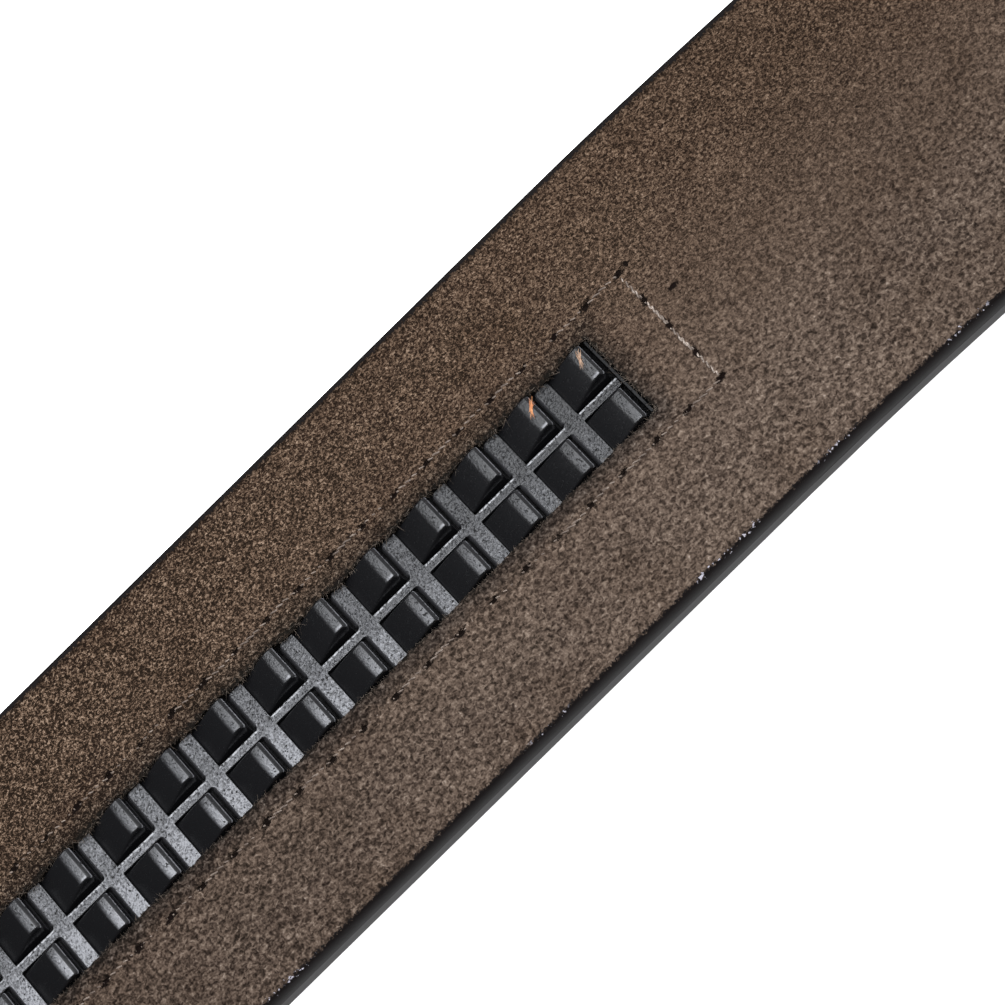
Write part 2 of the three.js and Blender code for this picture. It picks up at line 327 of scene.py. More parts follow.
# %% Suede ply with its slot
SLOT_HALF = 4.8 * MM
FAR_WAVE = 0.22 * MM
NEAR_WAVE = 0.06 * MM
WAVE_REACH = 1.6 * MM
FAR_DRAWN_IN = 0.08 * MM
NEAR_DRAWN_IN = 0.02 * MM
RIM_FRAY = 0.07 * MM
RIM_KNOTS = 2400
RIM_DROP = 0.16 * MM
RIM_DROP_REACH = 0.5 * MM
CREST_FROM_RIB = 4.3 * MM
DIP_DEPTH = 0.35 * MM
DIP_LENGTH = 0.3 * MM
DIP_WIDTH = 0.17 * MM
TOUCH = 1e-7
SUEDE_STEP = 0.5 * MM
SEEN_STEP = 0.28 * MM
ROWS_BESIDE = MM * np.array([
    0, 0.12, 0.28, 0.5, 0.8, 1.2, 1.6, 1.85, 2, 2.1, 2.2, 2.35, 2.6, 3.4, 5, 7, 9.5, 12])
ROWS_IN_SLOT = np.array([-3.75, -3.45, -3.15, -1.7, -0.3, 0, 0.3, 1.7, 3.15, 3.45, 3.75]) * MM
WALL_DEPTH = np.array([0.3, 0.7, 1.2]) * MM
WALL_TUCK = np.array([0.06, 0.1, 0.12]) * MM
WALL_RIM_GAP = -0.6
WALL_EDGE_GAP = 9


def rim_noise(x, length, seed):
    """Random values every length along the rim, joined by cosines; about -1 to 1."""
    knots = np.random.default_rng(seed).uniform(-1, 1, int(RIM_KNOTS / length) + 3)
    place = np.arange(RIM_KNOTS) / length
    low = place.astype(int)
    share = (1 - np.cos((place - low) * math.pi)) / 2
    values = knots[low] * (1 - share) + knots[low + 1] * share
    return np.interp(x, np.linspace(SLOT_START_X, SLOT_END_X, RIM_KNOTS), values)


def rim_offset(x, side):
    """From the track's middle to the slot's rim: half the slot less what is drawn in, plus wave and fray."""
    wave, drawn_in = (FAR_WAVE, FAR_DRAWN_IN) if side > 0 else (NEAR_WAVE, NEAR_DRAWN_IN)
    drift = rim_noise(x, 40, 31 + side)
    phase = 2 * math.pi * (x - LAST_RIB_X - CREST_FROM_RIB) / PITCH + 0.7 * drift
    fray = rim_noise(x, 3.2, 11 + side) + 0.7 * rim_noise(x, 9.5, 21 + side)
    return SLOT_HALF - drawn_in + wave * (1 + 0.4 * drift) * np.cos(phase) + RIM_FRAY * fray


def corner_rows(corner_z, seam_z, reach, fullness, steps=13):
    """Heights and insets up one side: a superellipse, (z/ply)^n + (y/reach)^n = 1, from seam to surface."""
    angle = np.linspace(0, math.pi / 2, steps)
    share_z = np.sin(angle) ** (2 / fullness)
    share_y = np.cos(angle) ** (2 / fullness)
    return seam_z + (corner_z - seam_z) * share_z, reach * (1 - share_y)


def numbered(shape, start=0):
    """A table of that shape with the point numbers from start on."""
    return start + np.arange(math.prod(shape)).reshape(shape)


def closed(index):
    """A table of point numbers whose last column is its first one again."""
    return np.concatenate([index, index[..., :1]], axis=-1)


def quads(index):
    """The four-sided faces between neighbouring points of a two-dimensional array of point numbers."""
    a, b, c, d = index[:-1, :-1], index[:-1, 1:], index[1:, 1:], index[1:, :-1]
    return np.stack([a, b, c, d], axis=-1).reshape(-1, 4)


def side_wall(x, half, inward, heights, insets, side):
    """Grid of one edge of a ply: the outline at x, moved into the leather by each row's inset."""
    wall_x = x[:, None] + inward[:, :1] * insets
    wall_y = side * (half[:, None] + inward[:, 1:] * insets)
    return np.stack([wall_x, wall_y, np.broadcast_to(heights, wall_x.shape)], axis=-1)


def dip(along, across):
    """A smooth dimple, 1 in its middle: exp(-(along/length)^2 - (across/width)^2)."""
    return np.exp(-(along / DIP_LENGTH) ** 2 - (across / DIP_WIDTH) ** 2)


def needle_dips(x, y):
    """Depth at (x, y): DIP_DEPTH times the dimple round the nearest needle hole."""
    from_middle = y - TRACK_Y
    nearest = (x - STITCH_END_X + STITCH_PITCH / 2) % STITCH_PITCH - STITCH_PITCH / 2
    across = np.abs(from_middle) - STITCH_Y
    leant = nearest - ROW_TILT * across * np.sign(from_middle)
    on_rows = (x > STITCH_START_X - STITCH_PITCH / 2) & (x < STITCH_END_X + STITCH_PITCH / 2)
    along_end = (from_middle + END_PITCH / 2) % END_PITCH - END_PITCH / 2
    inside = np.abs(from_middle) < STITCH_Y - END_PITCH / 2
    beyond = np.minimum(np.abs(x - STITCH_END_X), np.abs(x - STITCH_START_X))
    return DIP_DEPTH * np.maximum(dip(leant, across) * on_rows, dip(along_end, beyond) * inside)


def top_rows():
    """Each row's share of the half width, -1 to 1, and its edge's reach; then the two rows of the rim."""
    near_rows = (TRACK_Y - SLOT_HALF - ROWS_BESIDE)[::-1]
    across = np.concatenate([near_rows, TRACK_Y + ROWS_IN_SLOT, TRACK_Y + SLOT_HALF + ROWS_BESIDE])
    edge = np.where(across < 0, NEAR_EDGE, FAR_EDGE)
    share = np.concatenate([[-1], across / (HALF_WIDTH - edge), [1]])
    low_row = len(near_rows)
    return share, np.concatenate([[NEAR_EDGE], edge, [FAR_EDGE]]), low_row, low_row + len(ROWS_IN_SLOT) + 1


def top_surface(x, inward, top_half, share, edge, in_slot):
    """The level top. Beside the slot (1 - gap/reach)^2 of the rim's push and drop is added; then the dips."""
    top_x = x[:, None] + inward[:, :1] * edge
    top_y = top_half * share
    top_z = np.full_like(top_y, STRAP_TOP)
    for side in (1, -1):
        gap = side * (top_y - TRACK_Y) - SLOT_HALF
        beside = (gap > -TOUCH) & in_slot[:, None]
        push = (rim_offset(x, side) - SLOT_HALF)[:, None] * np.clip(1 - gap / WAVE_REACH, 0, 1) ** 2
        top_y += side * push * beside
        top_z -= RIM_DROP * np.clip(1 - gap / RIM_DROP_REACH, 0, 1) ** 2 * beside
    return np.stack([top_x, top_y, top_z - needle_dips(top_x, top_y)], axis=-1)


def without_slot(index, first, last, low, high):
    """The faces of a table of point numbers, less the block between two stations and two rows."""
    faces = quads(index)
    station, row = np.divmod(np.arange(len(faces)), index.shape[1] - 1)
    return faces[(station < first) | (station >= last) | (row < low) | (row >= high)]


def round_slot(index, first, last, low, high):
    """The point numbers round that block: along one long side, across the end and back."""
    return np.concatenate([index[first:last + 1, low], index[last, low + 1:high],
                           index[first:last + 1, high][::-1], index[first, low + 1:high][::-1]])


def suede_skin(x, half, inward):
    """The skin over the top seam to seam, each point's gap to the edge, and the slot's block of cells."""
    near_z, near_inset = corner_rows(STRAP_TOP, SEAM_Z, NEAR_EDGE, SOFT_FULLNESS)
    far_z, far_inset = corner_rows(STRAP_TOP, SEAM_Z, FAR_EDGE, FIRM_FULLNESS)
    share, edge, low_row, high_row = top_rows()
    top_half = half[:, None] + inward[:, 1:] * edge
    in_slot = (x > SLOT_START_X - TOUCH) & (x < SLOT_END_X + TOUCH)
    first, last = np.flatnonzero(in_slot)[[0, -1]]
    near_side = side_wall(x, half, inward, near_z, near_inset, -1)[:, :-1]
    far_side = side_wall(x, half, inward, far_z, far_inset, 1)[:, -2::-1]
    top = top_surface(x, inward, top_half, share, edge, in_slot)
    near_gap, far_gap = (np.tile(inset, (len(x), 1)) for inset in (near_inset[:-1], far_inset[-2::-1]))
    top_gap = edge + (1 - np.abs(share)) * top_half
    skin = np.concatenate([near_side, top, far_side], axis=1)
    edge_gap = np.concatenate([near_gap, top_gap, far_gap], axis=1)
    before_top = near_side.shape[1]
    return skin, edge_gap, (first, last, before_top + low_row, before_top + high_row)


def suede_underside(x, half):
    """Rows at the seam: both edges and, held within 0.9 of the half width, the slot's own rows."""
    limit = half[:, None]
    slot_y = TRACK_Y + np.concatenate([[-SLOT_HALF], ROWS_IN_SLOT, [SLOT_HALF]])
    y = np.concatenate([-limit, np.clip(slot_y, -limit * 0.9, limit * 0.9), limit], axis=1)
    return np.stack([np.repeat(x[:, None], y.shape[1], axis=1), y, np.full_like(y, SEAM_Z)], axis=-1)


def slot_wall(rim):
    """Rings hung from the rim, each WALL_DEPTH below the top and WALL_TUCK further under the leather."""
    wall = np.repeat(rim[None], len(WALL_DEPTH), axis=0)
    wall[..., 1] += np.sign(rim[:, 1] - TRACK_Y) * WALL_TUCK[:, None]
    wall[..., 2] = STRAP_TOP - WALL_DEPTH[:, None]
    return wall


def suede_ply():
    """Skin and underside on one row of stations, both without the slot's block, joined by the slot's wall."""
    x = stations(SUEDE_STEP, SEEN_STEP)
    half, inward = outline(x)
    skin, skin_gap, block = suede_skin(x, half, inward)
    under = suede_underside(x, half)
    number = numbered(skin.shape[:2])
    under_number = numbered(under.shape[:2], number.size)
    under_number[:, [0, -1]] = number[:, [0, -1]]
    under_block = (*block[:2], 1, under.shape[1] - 2)
    points = np.concatenate([skin.reshape(-1, 3), under.reshape(-1, 3)])
    rim = round_slot(number, *block)
    wall = slot_wall(points[rim])
    foot = round_slot(under_number, *under_block)
    wall_number = closed(np.concatenate([rim[None], numbered(wall.shape[:2], len(points)), foot[None]]))
    points = np.concatenate([points, wall.reshape(-1, 3)])

    beyond_end = np.maximum(points[:, 0] - SLOT_END_X, SLOT_START_X - points[:, 0])
    rim_gap = np.maximum(np.abs(points[:, 1] - TRACK_Y) - SLOT_HALF, beyond_end) / MM
    rim_gap[rim] = 0
    rim_gap[wall_number[1:]] = WALL_RIM_GAP
    edge_gap = np.zeros(len(points))
    edge_gap[number] = skin_gap / MM
    edge_gap[wall_number[1:]] = WALL_EDGE_GAP
    lay(points)
    faces = np.concatenate([without_slot(number, *block)[:, ::-1],
                            without_slot(under_number, *under_block), quads(wall_number)])
    ends = [np.concatenate([number[0], under_number[0, 1:-1][::-1]]),
            np.concatenate([number[-1][::-1], under_number[-1, 1:-1]])]
    used = np.unique(np.concatenate([faces.ravel(), *ends]))
    new_number = np.zeros(len(points), int)
    new_number[used] = np.arange(len(used))
    face_list = new_number[faces].tolist() + [new_number[end].tolist() for end in ends]
    ply = grid_mesh("suede_back", points[used], face_list)
    ply.data.set_sharp_from_angle(angle=SHARP_ANGLE)
    for label, values in (("rim_gap", rim_gap), ("edge_gap", edge_gap)):
        ply.data.attributes.new(label, "FLOAT", "POINT").data.foreach_set("value", values[used])
    return ply


suede_back = suede_ply()
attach(suede_back, "root")
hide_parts("strap_lining")
print("suede back:", len(suede_back.data.polygons), "faces")

# %% [markdown]
# The outer ply has no slot, so it is one closed grid of the same kind, with its corner at the
# bottom. Its smooth side lies on the floor, and only its painted edge shows from above.

# %% Outer ply
FACE_STEP = 4 * MM


def face_ply():
    """Grid over station and row, closed by one strip across the seam and a cap at each end."""
    x = stations(FACE_STEP, FACE_STEP)
    half, inward = outline(x)
    low_side = side_wall(x, half, inward, *corner_rows(0, SEAM_Z, FACE_NEAR_EDGE, FIRM_FULLNESS), -1)
    high_side = side_wall(x, half, inward, *corner_rows(0, SEAM_Z, FACE_EDGE, FIRM_FULLNESS), 1)[:, ::-1]
    skin = np.concatenate([low_side, high_side], axis=1)
    number = closed(numbered(skin.shape[:2]))
    points = skin.reshape(-1, 3)
    lay(points)
    ends = [number[0, :-1][::-1].tolist(), number[-1, :-1].tolist()]
    ply = grid_mesh("outer_face", points, quads(number).tolist() + ends)
    ply.data.set_sharp_from_angle(angle=SHARP_ANGLE)
    return ply


outer_face = face_ply()
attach(outer_face, "root")
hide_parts("strap_face")
print("outer face:", len(outer_face.data.polygons), "faces")

# %% [markdown]
# The track repeats one cell: a flat rib right across, a narrow spine in the middle, and a pair
# of teeth that climb from just below the rib to a level crest and then drop steeply. Each is
# a convex side view with rounded corners, carried along a straight line, with both ends
# drawn in so that they are rounded too. The bright lines that plastic shows in a photograph
# are these roundings, together with highlights painted into the track's colour.

# %% Rounded bars carried along a line


def rounded_outline(corners, radius, inset, arc_points=4):
    """A convex, anticlockwise outline moved in by inset, each corner an arc of its own or a shared radius."""
    corners = np.asarray(corners, dtype=float)
    radius = np.broadcast_to(radius, len(corners))
    sides = np.roll(corners, -1, axis=0) - corners
    sides /= np.linalg.norm(sides, axis=1, keepdims=True)
    normals = np.stack([sides[:, 1], -sides[:, 0]], axis=1)
    before = np.roll(normals, 1, axis=0)
    offset = inset + radius
    cross = before[:, 0] * normals[:, 1] - before[:, 1] * normals[:, 0]
    level_a = (before * corners).sum(axis=1) - offset
    level_b = (normals * corners).sum(axis=1) - offset
    centre_x = (level_a * normals[:, 1] - level_b * before[:, 1]) / cross
    centre_y = (before[:, 0] * level_b - normals[:, 0] * level_a) / cross
    start = np.arctan2(before[:, 1], before[:, 0])
    sweep = (np.arctan2(normals[:, 1], normals[:, 0]) - start) % (2 * math.pi)
    angle = start[:, None] + sweep[:, None] * np.linspace(0, 1, arc_points)[None, :]
    outline_x = centre_x[:, None] + radius[:, None] * np.cos(angle)
    outline_y = centre_y[:, None] + radius[:, None] * np.sin(angle)
    return np.stack([outline_x.ravel(), outline_y.ravel()], axis=1)


def carried(corners, radius, end_radius, start, end, arc_points=4, end_points=4):
    """Rings of the rounded outline from start to end; within end_radius of an end they shrink on an arc."""
    angle = np.linspace(0, math.pi / 2, end_points)
    inset = end_radius * (1 - np.sin(angle))
    step = end_radius * (1 - np.cos(angle))
    along = np.concatenate([start + step, (end - step)[::-1]])
    insets = np.concatenate([inset, inset[::-1]])
    rings = np.stack([rounded_outline(corners, radius, value, arc_points) for value in insets])
    place = np.repeat(along[:, None, None], rings.shape[1], axis=1)
    return np.concatenate([place, rings], axis=2)


def ring_faces(rings, count):
    """Faces of a closed tube of rings, with a cap at each end; the numbers start at 0."""
    number = numbered((rings, count))
    return quads(closed(number)).tolist() + [number[0][::-1].tolist(), number[-1].tolist()]


TOOTH_RADII = np.array([0.05, 0.05, 0.1, 0.12, 2.2, 0.1]) * MM
TOOTH_ARC_POINTS = 5
print("tooth corner radii in mm:", np.round(TOOTH_RADII / MM, 2))

# %% [markdown]
# Ribs and spine are one web. Seen from above its outline is a chain of straight lines and
# arcs, convex at the ribs' outer ends and concave in the pockets, with a larger arc on the side
# of each crest. Moving every arc in by a little gives the next ring, so a stack of such rings
# rounds the whole upper edge at once, softly where the mould had a slope and crisply elsewhere.

# %% The web of ribs and spine
SPINE_FAR = 0.325 * MM
SPINE_NEAR = 0.55 * MM
WEB_DEPTH = 0.9 * MM
WEB_FLAT = 0.04 * MM
WEB_SLOPE = 0.55
WEB_SKIRT = 0.22 * MM
WEB_STEP = 0.04 * MM
WIDE_ARC = 0.34
RIB_ARC = 0.12
SMALL_ARC = 0.1
SLOPE_SOFT = 0.28
SPINE_SOFT = 0.2
CRISP = 0.06
TAIL_SOFT = 0.04
TAIL_BEYOND = 0.16


def web_arcs():
    """One row per arc in mm, anticlockwise: centre, radius, first and last angle, softness, bend sign."""
    half = RIB_WIDTH / 2 / MM
    reach = TRACK_HALF / MM
    next_left = PITCH / MM - half
    quarter = math.pi / 2
    chain = []
    for side, spine, soft in ((-1, SPINE_NEAR / MM, SPINE_SOFT), (1, SPINE_FAR / MM, CRISP)):
        cell = np.array([
            [WIDE_ARC - half, WIDE_ARC - reach, WIDE_ARC, 2 * quarter, 3 * quarter, SLOPE_SOFT, CRISP, 1],
            [half - RIB_ARC, RIB_ARC - reach, RIB_ARC, 3 * quarter, 4 * quarter, CRISP, CRISP, 1],
            [half + SMALL_ARC, -spine - SMALL_ARC, SMALL_ARC, 2 * quarter, quarter, CRISP, soft, -1],
            [next_left - WIDE_ARC, -spine - WIDE_ARC, WIDE_ARC, quarter, 0, soft, SLOPE_SOFT, -1]])
        rows = np.tile(cell, (CELLS, 1))
        rows[:, 0] += np.repeat(np.arange(CELLS), len(cell)) * PITCH / MM
        tail = rows[-1, 0] + TAIL_BEYOND
        rows[-1] = [tail, SMALL_ARC - spine, SMALL_ARC, 3 * quarter, 4 * quarter, TAIL_SOFT, TAIL_SOFT, 1]
        if side > 0:
            rows = rows[::-1, [0, 1, 2, 4, 3, 6, 5, 7]] * np.array([1, -1, 1, -1, -1, 1, 1, 1])
        chain.append(rows)
    return np.concatenate(chain)


def web_shell(arc_points=6, ring_steps=5):
    """Rings moved in by e(1 - cos t) and down by slope * e(1 - sin t), a skirt where soft, then a wall."""
    arcs = web_arcs()
    share = np.linspace(0, 1, arc_points)[None, :]
    angle = arcs[:, 3:4] + (arcs[:, 4:5] - arcs[:, 3:4]) * share
    soft = (arcs[:, 5:6] + (arcs[:, 6:7] - arcs[:, 5:6]) * share) * MM
    turn = np.linspace(math.pi / 2, 0, ring_steps)
    move = soft * (1 - np.cos(turn))[:, None, None]
    drop = -WEB_SLOPE * soft * (1 - np.sin(turn))[:, None, None]
    skirt = -WEB_SKIRT * np.clip((soft / MM - SPINE_SOFT) / (SLOPE_SOFT - SPINE_SOFT), 0, 1)[None]
    foot = drop[-1:] + skirt * 0.9 - WEB_STEP
    move = np.concatenate([move[:1] + WEB_FLAT, move, skirt, skirt])
    drop = np.concatenate([drop[:1], drop, foot, np.full_like(foot, -WEB_DEPTH)])
    radius = arcs[:, 2:3] * MM - arcs[:, 7:8] * move
    ring_x = arcs[:, 0:1] * MM + radius * np.cos(angle)
    ring_y = arcs[:, 1:2] * MM + radius * np.sin(angle)
    rings = np.stack([ring_x, ring_y, drop], axis=-1)
    return rings.reshape(len(move), -1, 3)


web = web_shell()
print("web:", web.shape[0], "rings of", web.shape[1], "points")

# %% The track's cells
RAMP_LOW = -0.25 * MM
RAMP_LENGTH = 3.3 * MM
CREST_HEIGHT = 1.24 * MM
CREST_LENGTH = 0.62 * MM
CREST_BEVEL = 0.36 * MM
TOOTH_INNER = 0.7 * MM
TOOTH_DRAFT = 0.248
TOOTH_END_RADIUS = 0.2 * MM
SHORT_TOOTH = 1.0 * MM
TOOTH_ROOT = -0.9 * MM
HEIGHT_PLAY = 0.015 * MM
END_WALL_BELOW_TOP = 0.15 * MM
FLOOR_RADIUS = 0.02 * MM
BAR_RADIUS = 0.05 * MM
WALL_END_RADIUS = 0.08 * MM


def tooth_side_view():
    """Corners of one tooth, x from the rib's middle and height over the ribs: ramp, crest, bevel, back."""
    ramp_x = RIB_WIDTH / 2 + 0.02 * MM
    crest_x = RIB_WIDTH / 2 + RAMP_LENGTH
    bevel_x = crest_x + CREST_LENGTH
    back_x = bevel_x + CREST_BEVEL
    return [(ramp_x, TOOTH_ROOT), (back_x, TOOTH_ROOT), (back_x, CREST_HEIGHT - CREST_BEVEL),
            (bevel_x, CREST_HEIGHT), (crest_x, CREST_HEIGHT), (ramp_x, RAMP_LOW)]


def tooth_points(side):
    """Rings of a short tooth, pulled apart: inner + s at its inner half, with inner growing by the draft
    times the height, and the track's half width less the rest at its outer half."""
    rings = carried(tooth_side_view(), TOOTH_RADII, TOOTH_END_RADIUS, 0.0, SHORT_TOOTH, TOOTH_ARC_POINTS)
    along, x, height = rings[..., 0], rings[..., 1], rings[..., 2]
    inner = TOOTH_INNER + TOOTH_DRAFT * (height - RAMP_LOW)
    y = np.where(along < SHORT_TOOTH / 2, inner + along, TRACK_HALF - (SHORT_TOOTH - along))
    return np.stack([x, side * y, height], axis=-1)


def bar_points(low, high, half, top, radius, end_radius, along_x):
    """Rings of a rounded bar between the seam and its top, from low to high along X and half to each side."""
    ends, sides = ((low, high), (-half, half)) if along_x else ((-half, half), (low, high))
    corners = [(sides[0], SEAM_Z), (sides[1], SEAM_Z), (sides[1], top), (sides[0], top)]
    rings = carried(corners, radius, end_radius, *ends)
    return rings if along_x else rings[..., [1, 0, 2]]


def moulded_track():
    """One closed shell for each bar and tooth, repeated every pitch with a hair of difference in height."""
    shells = []

    def add(rings, shift, mirrored=False):
        faces = ring_faces(*rings.shape[:2])
        if mirrored:
            faces = [face[::-1] for face in faces]
        shells.append((rings.reshape(-1, 3) + shift, faces))

    _, near_lift, far_lift = np.random.default_rng(3).uniform(-1, 1, (CELLS, 3)).T * HEIGHT_PLAY
    near_tooth, far_tooth = tooth_points(-1), tooth_points(1)
    for cell in range(CELLS):
        rib = np.array([FIRST_RIB_X + cell * PITCH, TRACK_Y, RIB_TOP])
        add(near_tooth, rib + [0, 0, near_lift[cell]])
        add(far_tooth, rib + [0, 0, far_lift[cell]], mirrored=True)
    add(web, np.array([FIRST_RIB_X, TRACK_Y, RIB_TOP]), mirrored=True)
    start_x = track_low[0] + FLANGE_END
    end_x = track_high[0] - FLANGE_END
    middle = np.array([0, TRACK_Y, 0])
    add(bar_points(start_x, end_x, TRACK_HALF, POCKET_FLOOR, FLOOR_RADIUS, BAR_RADIUS, True), middle)
    flange_half = (track_high[1] - track_low[1]) / 2
    flange_top = SEAM_Z + FLANGE_THICKNESS
    flange = bar_points(track_low[0], track_high[0], flange_half, flange_top, BAR_RADIUS, BAR_RADIUS, True)
    add(flange, middle)
    wall_top = STRAP_TOP - END_WALL_BELOW_TOP
    for low in (start_x, end_x - END_WALL):
        wall = bar_points(low, low + END_WALL, TRACK_HALF, wall_top, BAR_RADIUS, WALL_END_RADIUS, False)
        add(wall, middle, mirrored=True)
    points = np.concatenate([shell for shell, _ in shells])
    faces = []
    count = 0
    for shell, shell_faces in shells:
        faces += [[count + corner for corner in face] for face in shell_faces]
        count += len(shell)
    return grid_mesh("moulded_track", points, faces)


moulded = moulded_track()
moulded.data.set_sharp_from_angle(angle=SHARP_ANGLE)
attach(moulded, "root")
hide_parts("ratchet_track")
print("track:", len(moulded.data.polygons), "faces")

# %% [markdown]
# The clasp keeps its solid's form. Cast metal has no razor edges, though, so a copy of the
# solid is merged into whole faces and each sharp edge gets a small round.

# %% Clasp with softened edges
CLASP_ROUND = 0.3 * MM
FLAT_ANGLE = math.radians(1)
ROUNDED_ANGLE = math.radians(30)


def softened_clasp():
    """A copy of the solid with its doubled points merged, flat faces joined and sharp edges rounded."""
    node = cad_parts["clasp"]
    mesh = node.data.copy()
    mesh.transform(node.matrix_world)
    whole = bmesh.new()
    whole.from_mesh(mesh)
    bmesh.ops.remove_doubles(whole, verts=whole.verts, dist=0.001 * MM)
    bmesh.ops.dissolve_limit(whole, angle_limit=FLAT_ANGLE, verts=whole.verts, edges=whole.edges)
    whole.to_mesh(mesh)
    whole.free()
    mesh.name = "coated_clasp"
    mesh.materials.clear()
    thing = bpy.data.objects.new("coated_clasp", mesh)
    bpy.context.collection.objects.link(thing)
    mesh.polygons.foreach_set("use_smooth", np.full(len(mesh.polygons), True))
    rounds = thing.modifiers.new("rounds", "BEVEL")
    rounds.width = CLASP_ROUND
    rounds.segments = 3
    rounds.limit_method = "ANGLE"
    rounds.angle_limit = ROUNDED_ANGLE
    rounds.harden_normals = True
    return thing


coated_clasp = softened_clasp()
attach(coated_clasp, "root")
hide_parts("clasp")
print("clasp:", len(coated_clasp.data.polygons), "faces before rounding")

# %% [markdown]
# Round the slot runs a fine thread in small stitches. Between two needle holes the thread lies
# on the suede as a low arch and dives at each end, so each stitch is a path, and its two
# plies are thin tubes that turn round that path. All the stitches are one array: stitch, ply,
# station and side are its four parameters.

# %% Stitches of two-ply thread
THREAD_PLY = 0.105 * MM
THREAD_SPREAD = 0.095 * MM
THREAD_ARCH = 0.24 * MM
THREAD_SINK = 0.205 * MM
THREAD_TURNS = 2.2
THREAD_WANDER = np.array([0.13, 0.09, 0.3, 0.5])
THREAD_INSET = 0.07
ROW_SHOWN = (0.36, 0.9)
END_SHOWN = (0.6, 1.1)


def stitch_ends():
    """The two needle holes of every stitch: both long rows, then the short row across each end."""
    along = STITCH_START_X + np.arange(STITCHES) * STITCH_PITCH
    pairs = []
    for side in (-1, 1):
        row_y = np.full(STITCHES, TRACK_Y + side * STITCH_Y)
        pairs.append(np.stack([along, row_y, along + STITCH_PITCH, row_y], axis=1))
    across = TRACK_Y - STITCH_Y + np.arange(END_STITCHES) * END_PITCH
    for end_x in (STITCH_START_X, STITCH_END_X):
        row_x = np.full(END_STITCHES, end_x)
        pairs.append(np.stack([row_x, across, row_x, across + END_PITCH], axis=1))
    return np.concatenate(pairs)


def thread_tubes(ends, stations_count=16, sides=6):
    """Height is sin(pi t^0.6)^0.7, highest early on; the two plies circle the path half a turn apart."""
    count = len(ends)
    wander = np.random.default_rng(7).uniform(-1, 1, (count, 4)) * THREAD_WANDER
    t = np.linspace(0, 1, stations_count)
    start, end = ends[:, :2], ends[:, 2:]
    reach = THREAD_INSET + (1 - 2 * THREAD_INSET) * t
    path = start[:, None] + (end - start)[:, None] * reach[None, :, None]
    way = (end - start) / np.linalg.norm(end - start, axis=1, keepdims=True)
    beside = np.stack([-way[:, 1], way[:, 0]], axis=1)
    bow = wander[:, :1] * MM * np.sin(math.pi * t)[None, :] + wander[:, 1:2] * MM
    path = path + beside[:, None] * bow[..., None]
    across_end = start[:, :1] == end[:, :1]
    middle, spread = np.where(across_end, END_SHOWN, ROW_SHOWN).T[..., None]
    shown = middle + spread * wander[:, 2:3]
    arch = THREAD_ARCH * shown * np.sin(math.pi * np.clip(t, 1e-6, 1) ** 0.6)[None, :] ** 0.7
    height = STRAP_TOP - THREAD_SINK + arch
    centre = np.concatenate([path, height[..., None]], axis=2)
    ply = np.arange(2)[None, :, None]
    turn = 2 * math.pi * (THREAD_TURNS * t[None, None, :] + ply / 2 + wander[:, 3][:, None, None])
    side_way = np.concatenate([beside, np.zeros((count, 1))], axis=1)[:, None, None, :]
    up = np.array([0, 0, 1.0])
    apart = THREAD_SPREAD * (np.cos(turn)[..., None] * side_way + np.sin(turn)[..., None] * up)
    plies = centre[:, None] + apart
    angle = np.arange(sides) * 2 * math.pi / sides
    ring = np.cos(angle)[:, None] * side_way[..., None, :] + np.sin(angle)[:, None] * up
    return plies[..., None, :] + THREAD_PLY * ring, (count * 2, stations_count, sides)


def many_tubes(name, points, shape):
    """Tubes from one array of tube, station and side, each closed by its two end rings."""
    number = numbered(shape)
    wrapped = closed(number)
    a, b = wrapped[:, :-1, :-1], wrapped[:, :-1, 1:]
    c, d = wrapped[:, 1:, 1:], wrapped[:, 1:, :-1]
    walls = np.stack([a, b, c, d], axis=-1).reshape(-1, 4).tolist()
    caps = number[:, 0, ::-1].tolist() + number[:, -1].tolist()
    return grid_mesh(name, points.reshape(-1, 3), walls + caps)


stitch_points, stitch_shape = thread_tubes(stitch_ends())
stitching = many_tubes("stitching", stitch_points, stitch_shape)
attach(stitching, "root")
print("stitches:", stitch_shape[0] // 2)

# %% [markdown]
# The slot was cut, not turned over, so its rim is frayed. Fuzz is thousands of very small
# fibres. Each is a closed three-sided spike of a few faces that starts on the rim, leans out
# over the slot and curls, and one numpy array holds them all.

# %% Frayed fibres round the slot
FUZZ_PER_MM = 16
FUZZ_WIDTH = 0.05 * MM
FIBRE_SIDES = 3
RIM_JOINTS = 4
ROUND_SHARE = 0.77


def fibre_spikes(name, base, way, length, width, curl, seed, joints):
    """Spikes from base along way: the ring at share t lies at t * length, bent by curl * t^2, and shrinks."""
    random = np.random.default_rng(seed)
    count = len(base)
    t = np.linspace(0, 1, joints)
    way = way / np.linalg.norm(way, axis=1, keepdims=True)
    line = base[:, None] + way[:, None] * (length[:, None] * t)[..., None]
    line = line + curl[:, None] * (t ** 2)[None, :, None]
    beside = np.cross(way, random.normal(size=(count, 3)))
    beside /= np.linalg.norm(beside, axis=1, keepdims=True)
    beyond = np.cross(way, beside)
    radius = ROUND_SHARE * width[:, None] / 2 * (1 - 0.8 * t[None, :])
    angle = (np.arange(FIBRE_SIDES) * 2 * math.pi / FIBRE_SIDES)[:, None]
    ring = np.cos(angle) * beside[:, None, None] + np.sin(angle) * beyond[:, None, None]
    points = line[:, :, None] + radius[..., None, None] * ring
    spikes = many_tubes(name, points, (count, joints, FIBRE_SIDES))
    tone = spikes.data.attributes.new("tone", "FLOAT", "POINT")
    tone.data.foreach_set("value", np.repeat(random.uniform(0, 1, count), joints * FIBRE_SIDES))
    return spikes


